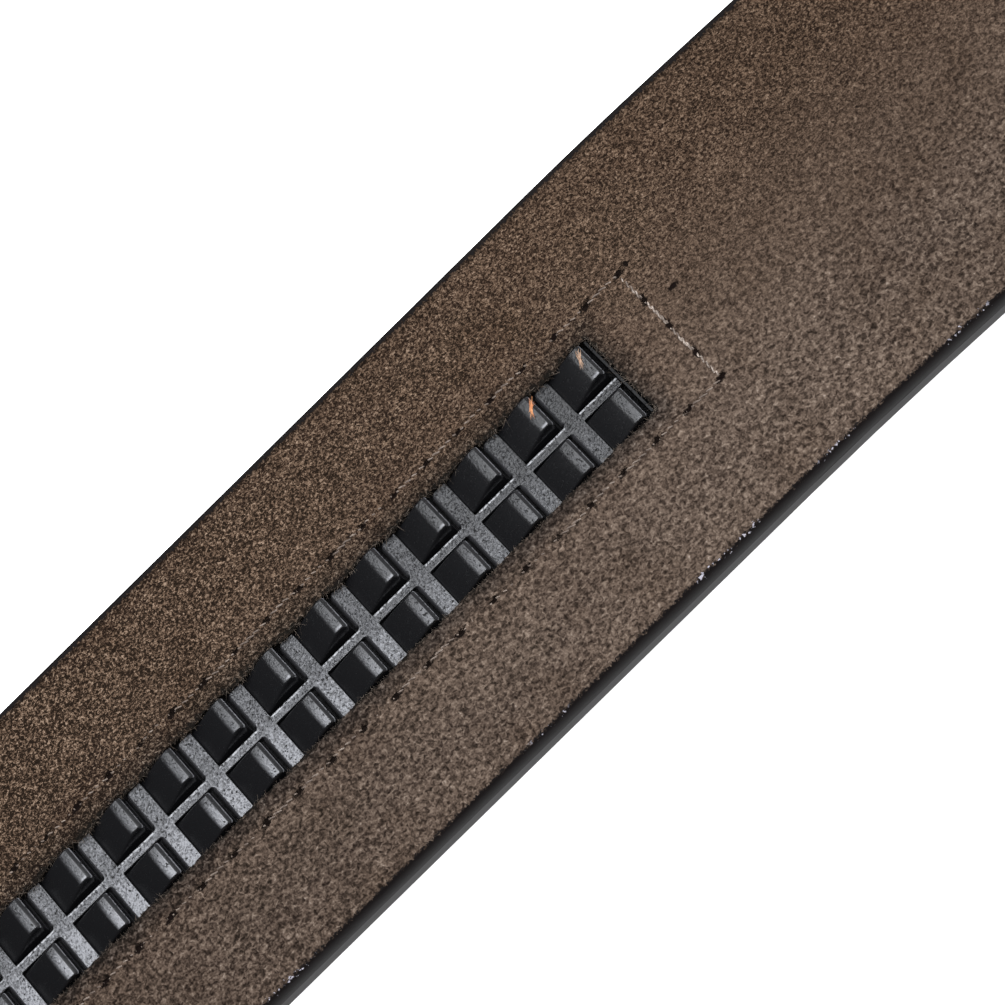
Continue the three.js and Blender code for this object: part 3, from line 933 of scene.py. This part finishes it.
def rim_fuzz():
    """Fibres along both long rims and both ends of the slot, leaning inwards with a random spread."""
    random = np.random.default_rng(17)
    count = int((SLOT_END_X - SLOT_START_X) / MM * FUZZ_PER_MM)
    bases, ways = [], []
    for side in (-1, 1):
        x = random.uniform(SLOT_START_X, SLOT_END_X, count)
        back = np.abs(random.normal(0, 0.22, count)) * MM
        y = TRACK_Y + side * (rim_offset(x, side) + back)
        drop = RIM_DROP * np.clip(1 - back / RIM_DROP_REACH, 0, 1) ** 2
        z = STRAP_TOP - drop - random.uniform(0, 0.25, count) * MM
        bases.append(np.stack([x, y, z], axis=1))
        ways.append(np.stack([random.normal(0, 0.8, count), -side * random.uniform(0.1, 1.2, count),
                              random.normal(0.15, 0.45, count)], axis=1))
    end_count = int(2 * SLOT_HALF / MM * FUZZ_PER_MM)
    for end_x, side in ((SLOT_START_X, -1), (SLOT_END_X, 1)):
        y = TRACK_Y + random.uniform(-SLOT_HALF, SLOT_HALF, end_count)
        x = end_x + side * np.abs(random.normal(0, 0.15, end_count)) * MM
        bases.append(np.stack([x, y, np.full(end_count, STRAP_TOP - 0.05 * MM)], axis=1))
        ways.append(np.stack([-side * random.uniform(0.1, 1, end_count), random.normal(0, 0.8, end_count),
                              random.normal(0.1, 0.4, end_count)], axis=1))
    base, way = np.concatenate(bases), np.concatenate(ways)
    total = len(base)
    length = random.gamma(3, 0.14, total) * MM
    length[:count] *= 0.6
    curl = random.normal(0, 0.12, (total, 3)) * MM
    width = FUZZ_WIDTH * random.uniform(0.6, 1.5, total)
    return fibre_spikes("frayed_rim", base, way, length, width, curl, 5, RIM_JOINTS)


frayed_rim = rim_fuzz()
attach(frayed_rim, "root")
print("rim fibres:", len(frayed_rim.data.vertices) // (RIM_JOINTS * FIBRE_SIDES))

# %% [markdown]
# Two loose fibres were caught on the last teeth when the photograph was taken, an orange one
# and a tan one. Each is a small tangle of the same spikes.

# %% Loose fibres caught on two teeth
CREST_TOP = RIB_TOP + CREST_HEIGHT
LOOSE_LIFT = 0.04 * MM
LOOSE_WIDTH = 0.095 * MM
LOOSE_JOINTS = 6


def tangle(name, x, y, reach, count, seed):
    """A handful of fibres crossing one place on a crest, most of them along one direction, either way."""
    random = np.random.default_rng(seed)
    middle = np.array([x, y, CREST_TOP + LOOSE_LIFT])
    base = middle + random.normal(0, 1, (count, 3)) * np.array([0.09, 0.09, 0.03]) * MM
    either = random.choice([-1, 1], (count, 1))
    way = either * np.array([*reach, 0]) + random.normal(0, 0.16, (count, 3)) * [1, 1, 0.2]
    length = random.uniform(0.35, 1.1, count) * MM
    curl = random.normal(0, 0.1, (count, 3)) * MM * [1, 1, 0.3]
    width = np.full(count, LOOSE_WIDTH)
    return fibre_spikes(name, base, way, length, width, curl, seed + 1, LOOSE_JOINTS)


orange_fibre = tangle("orange_fibre", LAST_RIB_X - 1.7 * MM, TRACK_Y + 3.3 * MM, (0.69, 0.78), 44, 31)
tan_fibre = tangle("tan_fibre", LAST_RIB_X + 4.35 * MM, TRACK_Y + 3.45 * MM, (0.4, 1.0), 26, 41)
for fibre in (orange_fibre, tan_fibre):
    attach(fibre, "root")
print("loose fibres on the last two teeth")

# %% [markdown]
# The materials come next. A finish is easiest to read as a formula, so every socket is carried
# as a wire that can be added to, subtracted from and multiplied, and each such step becomes one
# Math node. All materials read the object's own coordinates, turned into millimetres first, so
# that a size in a material is a size on the belt.

# %% Helpers for node trees


class Wire:
    """A wire out of one socket. Sums, differences, products and ratios of wires are Math nodes."""

    def __init__(self, socket):
        self.socket = socket
        self.tree = socket.id_data

    def __add__(self, other):
        return calc("ADD", self, other)

    def __sub__(self, other):
        return calc("SUBTRACT", self, other)

    def __rsub__(self, other):
        return calc("SUBTRACT", other, self)

    def __mul__(self, other):
        return calc("MULTIPLY", self, other)

    def __truediv__(self, other):
        return calc("DIVIDE", self, other)

    def __rtruediv__(self, other):
        return calc("DIVIDE", other, self)

    def __abs__(self):
        return calc("ABSOLUTE", self)


def wired(values, kind, inputs, output=0, **settings):
    """The wire out of a new node, placed in the tree of the first wire among some values."""
    tree = next(value.tree for value in values if isinstance(value, Wire))
    return Wire(shader_node(tree, kind, inputs, **settings).outputs[output])


def calc(operation, *values, clamp=False):
    """A Math node on up to three values or wires."""
    return wired(values, "ShaderNodeMath", dict(enumerate(values)), operation=operation, use_clamp=clamp)


def ease(value, low, high, to_low=0.0, to_high=1.0):
    """A smooth step of a value from one range to another."""
    inputs = {"Value": value, "From Min": low, "From Max": high, "To Min": to_low, "To Max": to_high}
    return wired([value], "ShaderNodeMapRange", inputs, interpolation_type="SMOOTHSTEP")


def blend(share, first, second, kind="MIX"):
    """A colour mix; each colour is a wire or three numbers."""
    first, second = (color if isinstance(color, Wire) else (*color, 1) for color in (first, second))
    inputs = {0: share, 6: first, 7: second}
    return wired((share, first, second), "ShaderNodeMix", inputs, 2, data_type="RGBA", blend_type=kind)


def tinted(share, color, tint):
    """A colour times a tint, as far as the share goes."""
    return blend(share, color, tint, "MULTIPLY")


def noise(place, scale, detail=2.0, rough=0.5, distortion=0.0, kind="FBM"):
    """A noise value of about 0 to 1."""
    inputs = {"Vector": place, "Scale": scale, "Detail": detail, "Roughness": rough, "Distortion": distortion}
    return wired([place], "ShaderNodeTexNoise", inputs, noise_type=kind, normalize=True)


def color_steps(value, steps):
    """A colour ramp through (position, colour) steps."""
    color = wired([value], "ShaderNodeValToRGB", {0: value})
    elements = color.socket.node.color_ramp.elements
    while len(elements) < len(steps):
        elements.new(0.5)
    for element, (position, step) in zip(elements, steps):
        element.position = position
        element.color = (*step, 1)
    return color


def parts(vector):
    """The x, y and z of a place or a direction."""
    node = shader_node(vector.tree, "ShaderNodeSeparateXYZ", {0: vector})
    return [Wire(socket) for socket in node.outputs]


def facing(place):
    """The x, y and z of the direction in which the surface faces."""
    return parts(wired([place], "ShaderNodeNewGeometry", {}, "Normal"))


def kept_value(place, name):
    """A value that the piece keeps on its points."""
    return wired([place], "ShaderNodeAttribute", {}, "Fac", attribute_name=name)


def bump(height, distance, strength=1.0):
    """A Bump node whose distance is in metres."""
    return wired([height], "ShaderNodeBump", {"Height": height, "Distance": distance, "Strength": strength})


def new_material(name):
    """A material, its Principled shader and the place on the piece in millimetres."""
    material = bpy.data.materials.new(name)
    material.use_nodes = True
    tree = material.node_tree
    place = Wire(shader_node(tree, "ShaderNodeTexCoord").outputs["Object"])
    in_mm = wired([place], "ShaderNodeVectorMath", {0: place, "Scale": 1 / MM}, operation="SCALE")
    return material, tree.nodes["Principled BSDF"], in_mm


print("helpers ready")

# %% [markdown]
# Nap, clouds and pits are wanted in more than one finish, so each is a node group with named
# sockets that is built once and placed with its own values.

# %% Shared effects as node groups


def new_group(name, outputs, **numbers):
    """An empty group that takes a place and some numbers: its tree, its inputs as wires and its end node."""
    tree = bpy.data.node_groups.new(name, "ShaderNodeTree")
    tree.interface.new_socket("Place", in_out="INPUT", socket_type="NodeSocketVector")
    for label, default in numbers.items():
        socket = tree.interface.new_socket(label, in_out="INPUT", socket_type="NodeSocketFloat")
        socket.default_value = default
    for label in outputs:
        tree.interface.new_socket(label, in_out="OUTPUT", socket_type="NodeSocketFloat")
    entry = tree.nodes.new("NodeGroupInput")
    given = {label: Wire(entry.outputs[label]) for label in ("Place", *numbers)}
    return tree, given, tree.nodes.new("NodeGroupOutput")


def use_group(group, place, size, **numbers):
    """One placed copy of a group with its own values; its outputs as wires by name."""
    inputs = {"Place": place, "Size": size, **numbers}
    node = shader_node(place.tree, "ShaderNodeGroup", inputs, node_tree=group)
    return {socket.name: Wire(socket) for socket in node.outputs}


def nap_group():
    """Tangled short fibres: bent noise for tufts, ridged for curls, slanted and fine noise for strands."""
    tree, given, out = new_group("nap", ["Tone"], Size=0.35, Fineness=1.0)
    place = given["Place"]
    per_mm = 1.0 / given["Size"]
    turned = {"Vector": place, "Rotation": (0, 0, 0.9), "Scale": (0.7, 1.5, 1.0)}
    slanted = wired([place], "ShaderNodeMapping", turned, vector_type="POINT")
    tufts = noise(place, per_mm * 1.1, 1.0, 0.5, 0.7)
    curls = noise(place, per_mm * 0.9, 0.0, 0.5, 1.2, "RIDGED_MULTIFRACTAL")
    slant = noise(slanted, per_mm * 1.3, 0.0)
    fine = noise(place, per_mm * 2.4, 0.0)
    tone = (tufts - 0.47) * 2.35 + (slant - 0.5) * 0.7 + (curls - 0.5) * 0.6
    feed(out, {"Tone": tone + (fine - 0.5) * given["Fineness"]})
    return tree


def cloud_group():
    """Slow change of tone over the surface: 0.6 of a large cloud and 0.4 of a small one."""
    tree, given, out = new_group("clouds", ["Tone"], Size=8.0)
    per_mm = 1.0 / given["Size"]
    small = noise(given["Place"], per_mm * 3.3, 2.0, 0.6)
    feed(out, {"Tone": noise(given["Place"], per_mm) * 0.6 + small * 0.4})
    return tree


def pit_group():
    """Small pits and grit on a moulded or painted face: dark dots where a fine noise falls low."""
    tree, given, out = new_group("pits", ["Mask", "Height"], Size=0.2, Amount=0.4)
    per_mm = 1.0 / given["Size"]
    coarse = noise(given["Place"], per_mm, 2.0, 0.55, 0.4)
    fine = noise(given["Place"], per_mm * 1.7, 0.0)
    edge = given["Amount"] * 0.25 + 0.3
    mask = ease(coarse, edge - 0.07, edge, 1.0, 0.0)
    feed(out, {"Mask": mask, "Height": fine * 0.6 - mask})
    return tree


nap, clouds, pits = nap_group(), cloud_group(), pit_group()
print("groups:", nap.name, clouds.name, pits.name)

# %% [markdown]
# The needle left a ragged hole at every end of a stitch, and the shade inside it, as in two
# stray marks, is painted in as a dark colour. In the material a row of holes is one hole that
# repeats every pitch, and the distance from the nearest one, broken by noise, says how dark a
# place is.

# %% Needle holes
HOLE_LENGTH = 0.5
HOLE_WIDTH = 0.26
STRAY_HOLE = (13.15, 7.25, 0.24, 0.22)
NICK = (14.76, 2.56, 0.42, 0.24)
END_TILT = 0.9
HOLE_FADE = (2.45, 3.1, 1.0, 0.0)
LAST_RIB = LAST_RIB_X / MM
MIDDLE = TRACK_Y / MM


def from_mark(along, across, length, width):
    """Distance from a mark in its own lengths and widths: the root of (along/length)^2 + (across/width)^2."""
    along_share, across_share = along / length, across / width
    return calc("SQRT", along_share * along_share + across_share * across_share)


def hole_row(along, across, first, last, pitch, tilt):
    """Distance from the nearest of the slanted holes that lie every pitch, and 1 where the row reaches."""
    nearest = calc("WRAP", (along - last) / pitch, 0.5, -0.5) * pitch
    inside = calc("GREATER_THAN", along, first - pitch / 2) * calc("LESS_THAN", along, last + pitch / 2)
    return from_mark(nearest - across * tilt, across, HOLE_LENGTH, HOLE_WIDTH), inside


def needle_marks(place):
    """One mask for the long rows, the end rows and two stray marks, with a ragged edge and uneven size."""
    x, y, _ = parts(place)
    from_middle = y - MIDDLE
    half_row = STITCH_Y / MM
    end_pitch = END_PITCH / MM
    ends = STITCH_START_X / MM, STITCH_END_X / MM
    outward = (abs(from_middle) - half_row) * calc("SIGN", from_middle)
    rows = [hole_row(x, outward, *ends, STITCH_PITCH / MM, ROW_TILT)]
    reach = half_row - end_pitch
    for end_x in ends:
        rows.append(hole_row(from_middle, x - end_x, -reach, reach, end_pitch, END_TILT))
    for mark_x, mark_y, length, width in (STRAY_HOLE, NICK):
        rows.append((from_mark(x - (LAST_RIB + mark_x), y - mark_y, length, width), 1.0))
    ragged = noise(place, 3.4, 2.0, 0.6) * 2.6 + noise(place, 0.45, 0.0) * 1.1
    marks = [ease(distance + ragged, *HOLE_FADE) * inside for distance, inside in rows]
    deepest = marks[0]
    for mark in marks[1:]:
        deepest = calc("MAXIMUM", deepest, mark)
    return deepest


print("needle holes of about", 2 * HOLE_LENGTH, "by", 2 * HOLE_WIDTH, "mm")

# %% [markdown]
# Suede is leather sanded until its fibres stand up. Close to, it is not one colour: lit tips
# are pale, gaps between the fibres are nearly black, and where the nap was brushed flat it
# looks softer. The material paints that light and shade into the nap's colour, over the
# fibres' own uneven tone. The ply's own measures, kept on its points, tell the material how
# far each place is from the slot's rim and from the painted edge.

# %% Suede with its painted edge
# Nap colours: the fibres' own tone, with painted shade in the gaps and painted light on the tips.
NAP_LIT_AND_SHADED_COLORS = [(0.0, (0.015, 0.01, 0.007)), (0.25, (0.046, 0.032, 0.024)), (0.5, (0.11, 0.079, 0.06)),
              (0.75, (0.195, 0.148, 0.115)), (1.0, (0.34, 0.275, 0.23))]
CLOUD_TINTS = [(0.3, (0.74, 0.71, 0.68)), (0.5, (0.93, 0.93, 0.93)), (0.72, (1.0, 1.0, 1.0))]
FAR_TINT = (0.82, 0.72, 0.62)
NEAR_TIP_TINT = (0.72, 0.7, 0.69)
CLASP_END_TINT = (0.86, 0.85, 0.84)
FAR_EDGE_TINT = (0.3, 0.3, 0.3)
NEAR_SOIL = (0.42, 0.46, 0.52)
FAR_SOIL = (0.62, 0.66, 0.68)
CUT_SHADOW = (0.006, 0.005, 0.004)
HOLE_SHADE_BLACK = (0.0055, 0.003, 0.0022)
EDGE_PAINT = (0.0045, 0.0032, 0.003)
PAINTED_EDGE_GLINT = (0.42, 0.4, 0.45)
CLASP_END_FADE = (LAST_RIB + 8, LAST_RIB + 38)
FAR_EDGE_FADE = (0.1, 1.3, 1.0, 0.0)
SOIL_FADE = (0.3, 2.6, 0.85, 0.0)
CUT_FADE = (-0.1, 0.4, 0.94, 0.0)
PAINT_FADE = (0.5, 0.72, 1.0, 0.0)
PAINT_LINE = 0.55
LINE_FADE = (0.06, 0.16, 1.0, 0.0)


def nap_look(place, toward_tip, toward_far, rim_gap):
    """The nap's height, finer towards the far edge, and its tone: 0.5 + height times a local contrast. The
    tone paints shade between the fibres and light on their tips.
    """
    soft = use_group(nap, place, 0.45, Fineness=0.7)["Tone"]
    crisp = use_group(nap, place, 0.27, Fineness=0.9)["Tone"]
    hair = soft + (crisp - soft) * toward_far
    contrast = toward_far * 0.26 + toward_tip * 0.08 + toward_tip * toward_far * 0.4 + 0.52
    near_slot = ease(rim_gap, 0.4, 3.0, 1.3, 1.0)
    return hair, calc("MULTIPLY_ADD", hair, contrast * near_slot, 0.5, clamp=True)


def nap_color(place, rim_gap, edge_gap, x, toward_tip, toward_far, tone):
    """The nap's colour by its tone, then tinted by cloud, by place on the ply and by soil at the slot."""
    cloud = use_group(clouds, place, 9.0)["Tone"]
    color = tinted(1.0, color_steps(tone, NAP_LIT_AND_SHADED_COLORS), color_steps(cloud, CLOUD_TINTS))
    color = tinted(toward_far, color, FAR_TINT)
    color = tinted(toward_tip * (1.0 - toward_far), color, NEAR_TIP_TINT)
    color = tinted(ease(x, *CLASP_END_FADE), color, CLASP_END_TINT)
    color = tinted(toward_far * ease(edge_gap, *FAR_EDGE_FADE), color, FAR_EDGE_TINT)
    handled = ease(rim_gap + (noise(place, 0.8, 3.0, 0.65) * 2.6 - 1.3), *SOIL_FADE)
    color = tinted(handled, color, blend(toward_far, NEAR_SOIL, FAR_SOIL))
    shadow = ease(rim_gap + (noise(place, 2.2, 3.0, 0.65) * 2.4 - 1.2), *CUT_FADE)
    return blend(shadow, color, CUT_SHADOW)


def suede_material():
    """Nap colours with painted fibre shade, darker beside the slot with a painted shadow at its rim, painted
    shade black in the needle holes, black paint over the outer edge and small painted glints along the
    paint's edge on the near side.
    """
    material, shader, place = new_material("suede")
    x, y, _ = parts(place)
    rim_gap, edge_gap = kept_value(place, "rim_gap"), kept_value(place, "edge_gap")
    toward_tip = ease(x, LAST_RIB - 75, LAST_RIB + 25, 1.0, 0.0)
    toward_far = ease(y, -14.0, 14.0)
    hair, tone = nap_look(place, toward_tip, toward_far, rim_gap)
    color = nap_color(place, rim_gap, edge_gap, x, toward_tip, toward_far, tone)
    marks = needle_marks(place)
    # Painted shade: the needle holes and the two stray marks turn nearly black.
    color = blend(marks, color, HOLE_SHADE_BLACK)
    ragged_gap = edge_gap + (noise(place, 3.4, 2.0, 0.7) * 1.1 - 0.55)
    paint = ease(ragged_gap, *PAINT_FADE)
    color = blend(paint, color, EDGE_PAINT)
    # Painted highlight: small pale glints along the paint's edge on the near side.
    edge_glint = ease(abs(ragged_gap - PAINT_LINE), *LINE_FADE) * ease(noise(place, 3.2, 1.0), 0.58, 0.66)
    edge_glint = edge_glint * ease(noise(place, 0.12, 0.0), 0.57, 0.64) * (1.0 - toward_far)
    unpainted = 1.0 - paint
    height = hair * (unpainted * 0.94 + 0.06) - marks * 3.0 + noise(place, 1.6) * (unpainted * 0.5)
    feed(shader, {"Base Color": blend(edge_glint, color, PAINTED_EDGE_GLINT), "Roughness": 0.9 - paint * 0.33,
                  "Specular IOR Level": 0.07, "Normal": bump(height, 0.09 * MM, 0.9)})
    return material


suede_back.data.materials.append(suede_material())
print("suede done")

# %% [markdown]
# Thread, frayed fibres and the two loose fibres are matt strands. Each fibre carries its own
# tone on its points, so that a tuft is not one flat colour.

# %% Strands
THREAD_DARK = (0.085, 0.06, 0.046)
ROW_THREAD_SHADED = (0.23, 0.18, 0.145)
END_THREAD_LIT = (0.44, 0.365, 0.31)
FIBRES = {
    "frayed_fibre": (frayed_rim, (0.012, 0.01, 0.009), (0.22, 0.175, 0.14)),
    "orange_fibre": (orange_fibre, (0.45, 0.13, 0.05), (0.85, 0.42, 0.2)),
    "tan_fibre": (tan_fibre, (0.28, 0.14, 0.08), (0.6, 0.42, 0.3)),
}


def strand_material(name, dark, light):
    """A matt strand between a dark and a light colour, chosen by noise and the fibre's own tone."""
    material, shader, place = new_material(name)
    share = calc("ADD", kept_value(place, "tone") * 0.6, noise(place, 4.0, 2.0, 0.6) * 0.6, clamp=True)
    feed(shader, {"Base Color": blend(share, dark, light), "Roughness": 0.8, "Specular IOR Level": 0.25})
    return material


def thread_material():
    """Thread that matches the suede along the rows, painted darker there as shade where it sinks into the
    nap, and painted paler across the end as light where it is less sunk.
    """
    material, shader, place = new_material("thread")
    at_end = ease(parts(place)[0], STITCH_END_X / MM - 1.2, STITCH_END_X / MM - 0.3)
    share = calc("MULTIPLY_ADD", noise(place, 3.0, 2.0, 0.7), 3.4, -1.2, clamp=True)
    share = share * ease(noise(place, 0.8, 0.0), 0.4, 0.56, 0.25, 1.0)
    # Painted light and shade: one thread, darker along the rows and paler across the end.
    color = blend(share, THREAD_DARK, blend(at_end, ROW_THREAD_SHADED, END_THREAD_LIT))
    feed(shader, {"Base Color": color, "Roughness": 0.65})
    return material


stitching.data.materials.append(thread_material())
for strand, (piece, dark_color, light_color) in FIBRES.items():
    piece.data.materials.append(strand_material(strand, dark_color, light_color))
print("strands done")

# %% [markdown]
# The track is black plastic. Its flat rib tops rubbed against the wearer and the mould left
# them gritty, while the ramps stayed smooth, so the material sets pits and a rougher gloss
# only where a face looks up. The pale grey of those faces is partly that wear and partly the
# softbox's light painted into the colour, and the material paints lighter greys and
# highlights on the bevels, the rib slopes and the spine as well.

# %% Black plastic of the track
PLASTIC = (0.0055, 0.0055, 0.0062)
WORN_AND_LIT_PLASTIC = (0.22, 0.222, 0.236)
PIT_BLACK = (0.003, 0.003, 0.003)
CREST_GLINT = (0.24, 0.24, 0.255)
BEVEL_LIT_GREY = (0.018, 0.018, 0.019)
EDGE_HIGHLIGHT = (0.16, 0.16, 0.17)
SLOPE_LIT_GREY = (0.04, 0.04, 0.043)
SPINE_HIGHLIGHT_PALE = (0.36, 0.365, 0.38)
UNLIT_BLACK = (0.001, 0.001, 0.001)
RIB_LEVEL = RIB_TOP / MM
BEVEL_LEVEL = (RIB_TOP + CREST_HEIGHT - CREST_BEVEL) / MM
CELL = PITCH / MM
CREST_REPEAT = 5.85
CREST_RUN = 3.6


def worn_and_lit_tops(place, flat, crest, sand, pitted):
    """Mottled grey where a face looks up, partly wear and partly painted light, paler towards the tip and the
    near side, with pits and painted glints; each crest is painted lighter towards one end.
    """
    x, y, _ = parts(place)
    fleck = ease(noise(place, 3.1, 0.0), 0.66, 0.76, 0.0, 0.6)
    mottle = ease(sand, 0.3, 0.7, 0.2, 0.8) + fleck
    mottle = mottle + (0.5 - mottle) * (crest * 0.58)
    # Part wear, part painted light: the tops turn paler towards the tip and the near side.
    worn = ease(x, LAST_RIB + 5, LAST_RIB - 60, 0.12, 1.05) * ease(y, 1.0, -3.0, 0.66, 1.9)
    along_crest = calc("WRAP", y - (TRACK_Y - TRACK_HALF) / MM, CREST_REPEAT, 0.0) / CREST_RUN
    # Painted highlight: each crest is lighter at one end and fades along its length.
    crest_painted_light = (0.1 - along_crest * 0.9) * crest + 1.0
    color = blend(flat * mottle * worn * crest_painted_light, PLASTIC, WORN_AND_LIT_PLASTIC)
    color = blend(pitted, color, PIT_BLACK)
    glint = crest * flat * ease(along_crest, 0.02, 0.1, 1.0, 0.0) * ease(noise(place, 0.9, 1.0), 0.48, 0.62)
    return blend(glint, color, CREST_GLINT)


def tooth_edges(color, z, facing_x, sand):
    """The bevel behind each crest painted a lighter dark grey for the light it catches, and a thin broken
    painted highlight along its lower edge.
    """
    faces_end = calc("GREATER_THAN", facing_x, 0.3)
    # Painted light: the bevel is lighter than the plastic's own black.
    color = blend(faces_end * ease(z, BEVEL_LEVEL, BEVEL_LEVEL + 0.08), color, BEVEL_LIT_GREY)
    # Painted highlight: a thin broken line along the bevel's lower edge.
    line = ease(abs(z - BEVEL_LEVEL), 0.02, 0.09, 1.0, 0.0) * faces_end * ease(sand, 0.3, 0.5)
    return blend(line, color, EDGE_HIGHLIGHT)


def web_lines(color, place, sand):
    """Painted light: a lighter grey on the slope on the tip side of each rib, and a pale painted highlight
    along the far edge of the spine.
    """
    x, y, z = parts(place)
    in_cell = calc("WRAP", x - FIRST_RIB_X / MM, CELL, 0.0) - CELL / 2
    below_top = calc("LESS_THAN", z, RIB_LEVEL + 0.02)
    slope = ease(in_cell, 2.35, 2.62, 1.0, 0.0) * calc("GREATER_THAN", in_cell, 1.9)
    slope = slope * ease(abs(y - MIDDLE), 0.55, 0.9) * below_top
    # Painted light: the rib's slope is lighter than the plastic's own black.
    color = blend(slope, color, SLOPE_LIT_GREY)
    # Painted highlight along the spine's far edge, broken by noise.
    spine_highlight = ease(abs(y - (MIDDLE + SPINE_FAR / MM - 0.1)), 0.04, 0.12, 1.0, 0.0)
    spine_highlight = spine_highlight * ease(z, RIB_LEVEL - 0.1, RIB_LEVEL - 0.03) * below_top
    spine_highlight = spine_highlight * ease(abs(in_cell), 2.1, 2.5, 1.0, 0.0) * ease(sand, 0.36, 0.56)
    return blend(spine_highlight, color, SPINE_HIGHLIGHT_PALE)


def track_material():
    """Black plastic: mottled and pitted where it looks up, paler where worn and where light is painted in,
    smooth and dark on the ramps, and painted black as shade in the pockets and at the end wall by the clasp.
    """
    material, shader, place = new_material("black_plastic")
    x, _, z = parts(place)
    facing_x, _, facing_z = facing(place)
    wall_x = (SLOT_END_X - END_WALL) / MM
    off_wall = ease(x, wall_x - 0.25, wall_x - 0.15, 1.0, 0.2)
    flat = ease(facing_z, 0.925, 0.995) * off_wall
    deep = ease(z, POCKET_FLOOR / MM + 0.1, RIB_LEVEL - 0.25, 1.0, 0.0)
    crest = ease(z, RIB_LEVEL + 0.6, RIB_LEVEL + 0.95)
    grit = use_group(pits, place, 0.27, Amount=0.34)
    sand = noise(place, 4.6, 1.5, 0.55)
    pitted = grit["Mask"] * flat
    color = worn_and_lit_tops(place, flat, crest, sand, pitted)
    color = tooth_edges(color, z, facing_x, sand)
    color = web_lines(color, place, sand)
    unlit = calc("MAXIMUM", deep, ease(off_wall, 0.3, 0.9, 0.75, 0.0))
    gloss = 0.26 - grit["Height"] * 0.08 + flat * 0.1 + pitted * 0.35 + deep * 0.35
    relief = (grit["Height"] + sand * 1.3) * flat * (1.0 - crest * 0.5)
    feed(shader, {"Base Color": blend(unlit, color, UNLIT_BLACK), "Roughness": gloss, "Metallic": unlit,
                  "Normal": bump(relief, 0.12 * MM)})
    return material


moulded.data.materials.append(track_material())
print("track done")

# %% [markdown]
# The outer ply is smooth black leather with a fine grain, and its edge is painted like the
# suede ply's. The clasp is plain metal under a satin black coat.

# %% Face leather and clasp
FACE_LEATHER = [(0.006, 0.0042, 0.0038), (0.011, 0.008, 0.0072)]
SATIN_COAT = [(0.012, 0.012, 0.013), (0.03, 0.03, 0.032)]


def leather_material():
    """Black leather: shallow cells of grain below, smooth paint on the edge."""
    material, shader, place = new_material("face_leather")
    below = ease(facing(place)[2], -0.9, -0.6, 1.0, 0.0)
    from_crease = wired([place], "ShaderNodeTexVoronoi", {"Vector": place, "Scale": 1.3}, "Distance",
                        feature="DISTANCE_TO_EDGE")
    cloud = use_group(clouds, place, 12.0)["Tone"]
    grit = use_group(pits, place, 0.5, Amount=0.1)
    height = grit["Height"] * 0.35 + ease(from_crease, 0.0, 0.2) * below
    feed(shader, {"Base Color": blend(cloud, *FACE_LEATHER), "Roughness": cloud * 0.12 + 0.47 - below * 0.2,
                  "Specular IOR Level": 0.17, "Normal": bump(height, 0.04 * MM, 0.6)})
    return material


def coat_material():
    """Satin black coat on metal, slightly worn and dusty."""
    material, shader, place = new_material("clasp_coat")
    grit = use_group(pits, place, 0.35, Amount=0.05)
    cloud = use_group(clouds, place, 14.0)["Tone"]
    feed(shader, {"Base Color": blend(cloud, *SATIN_COAT), "Roughness": cloud * 0.2 + 0.22, "Metallic": 0.6,
                  "Normal": bump(grit["Height"], 0.02 * MM, 0.5)})
    return material


outer_face.data.materials.append(leather_material())
coated_clasp.data.materials.append(coat_material())
print("leather and clasp done")
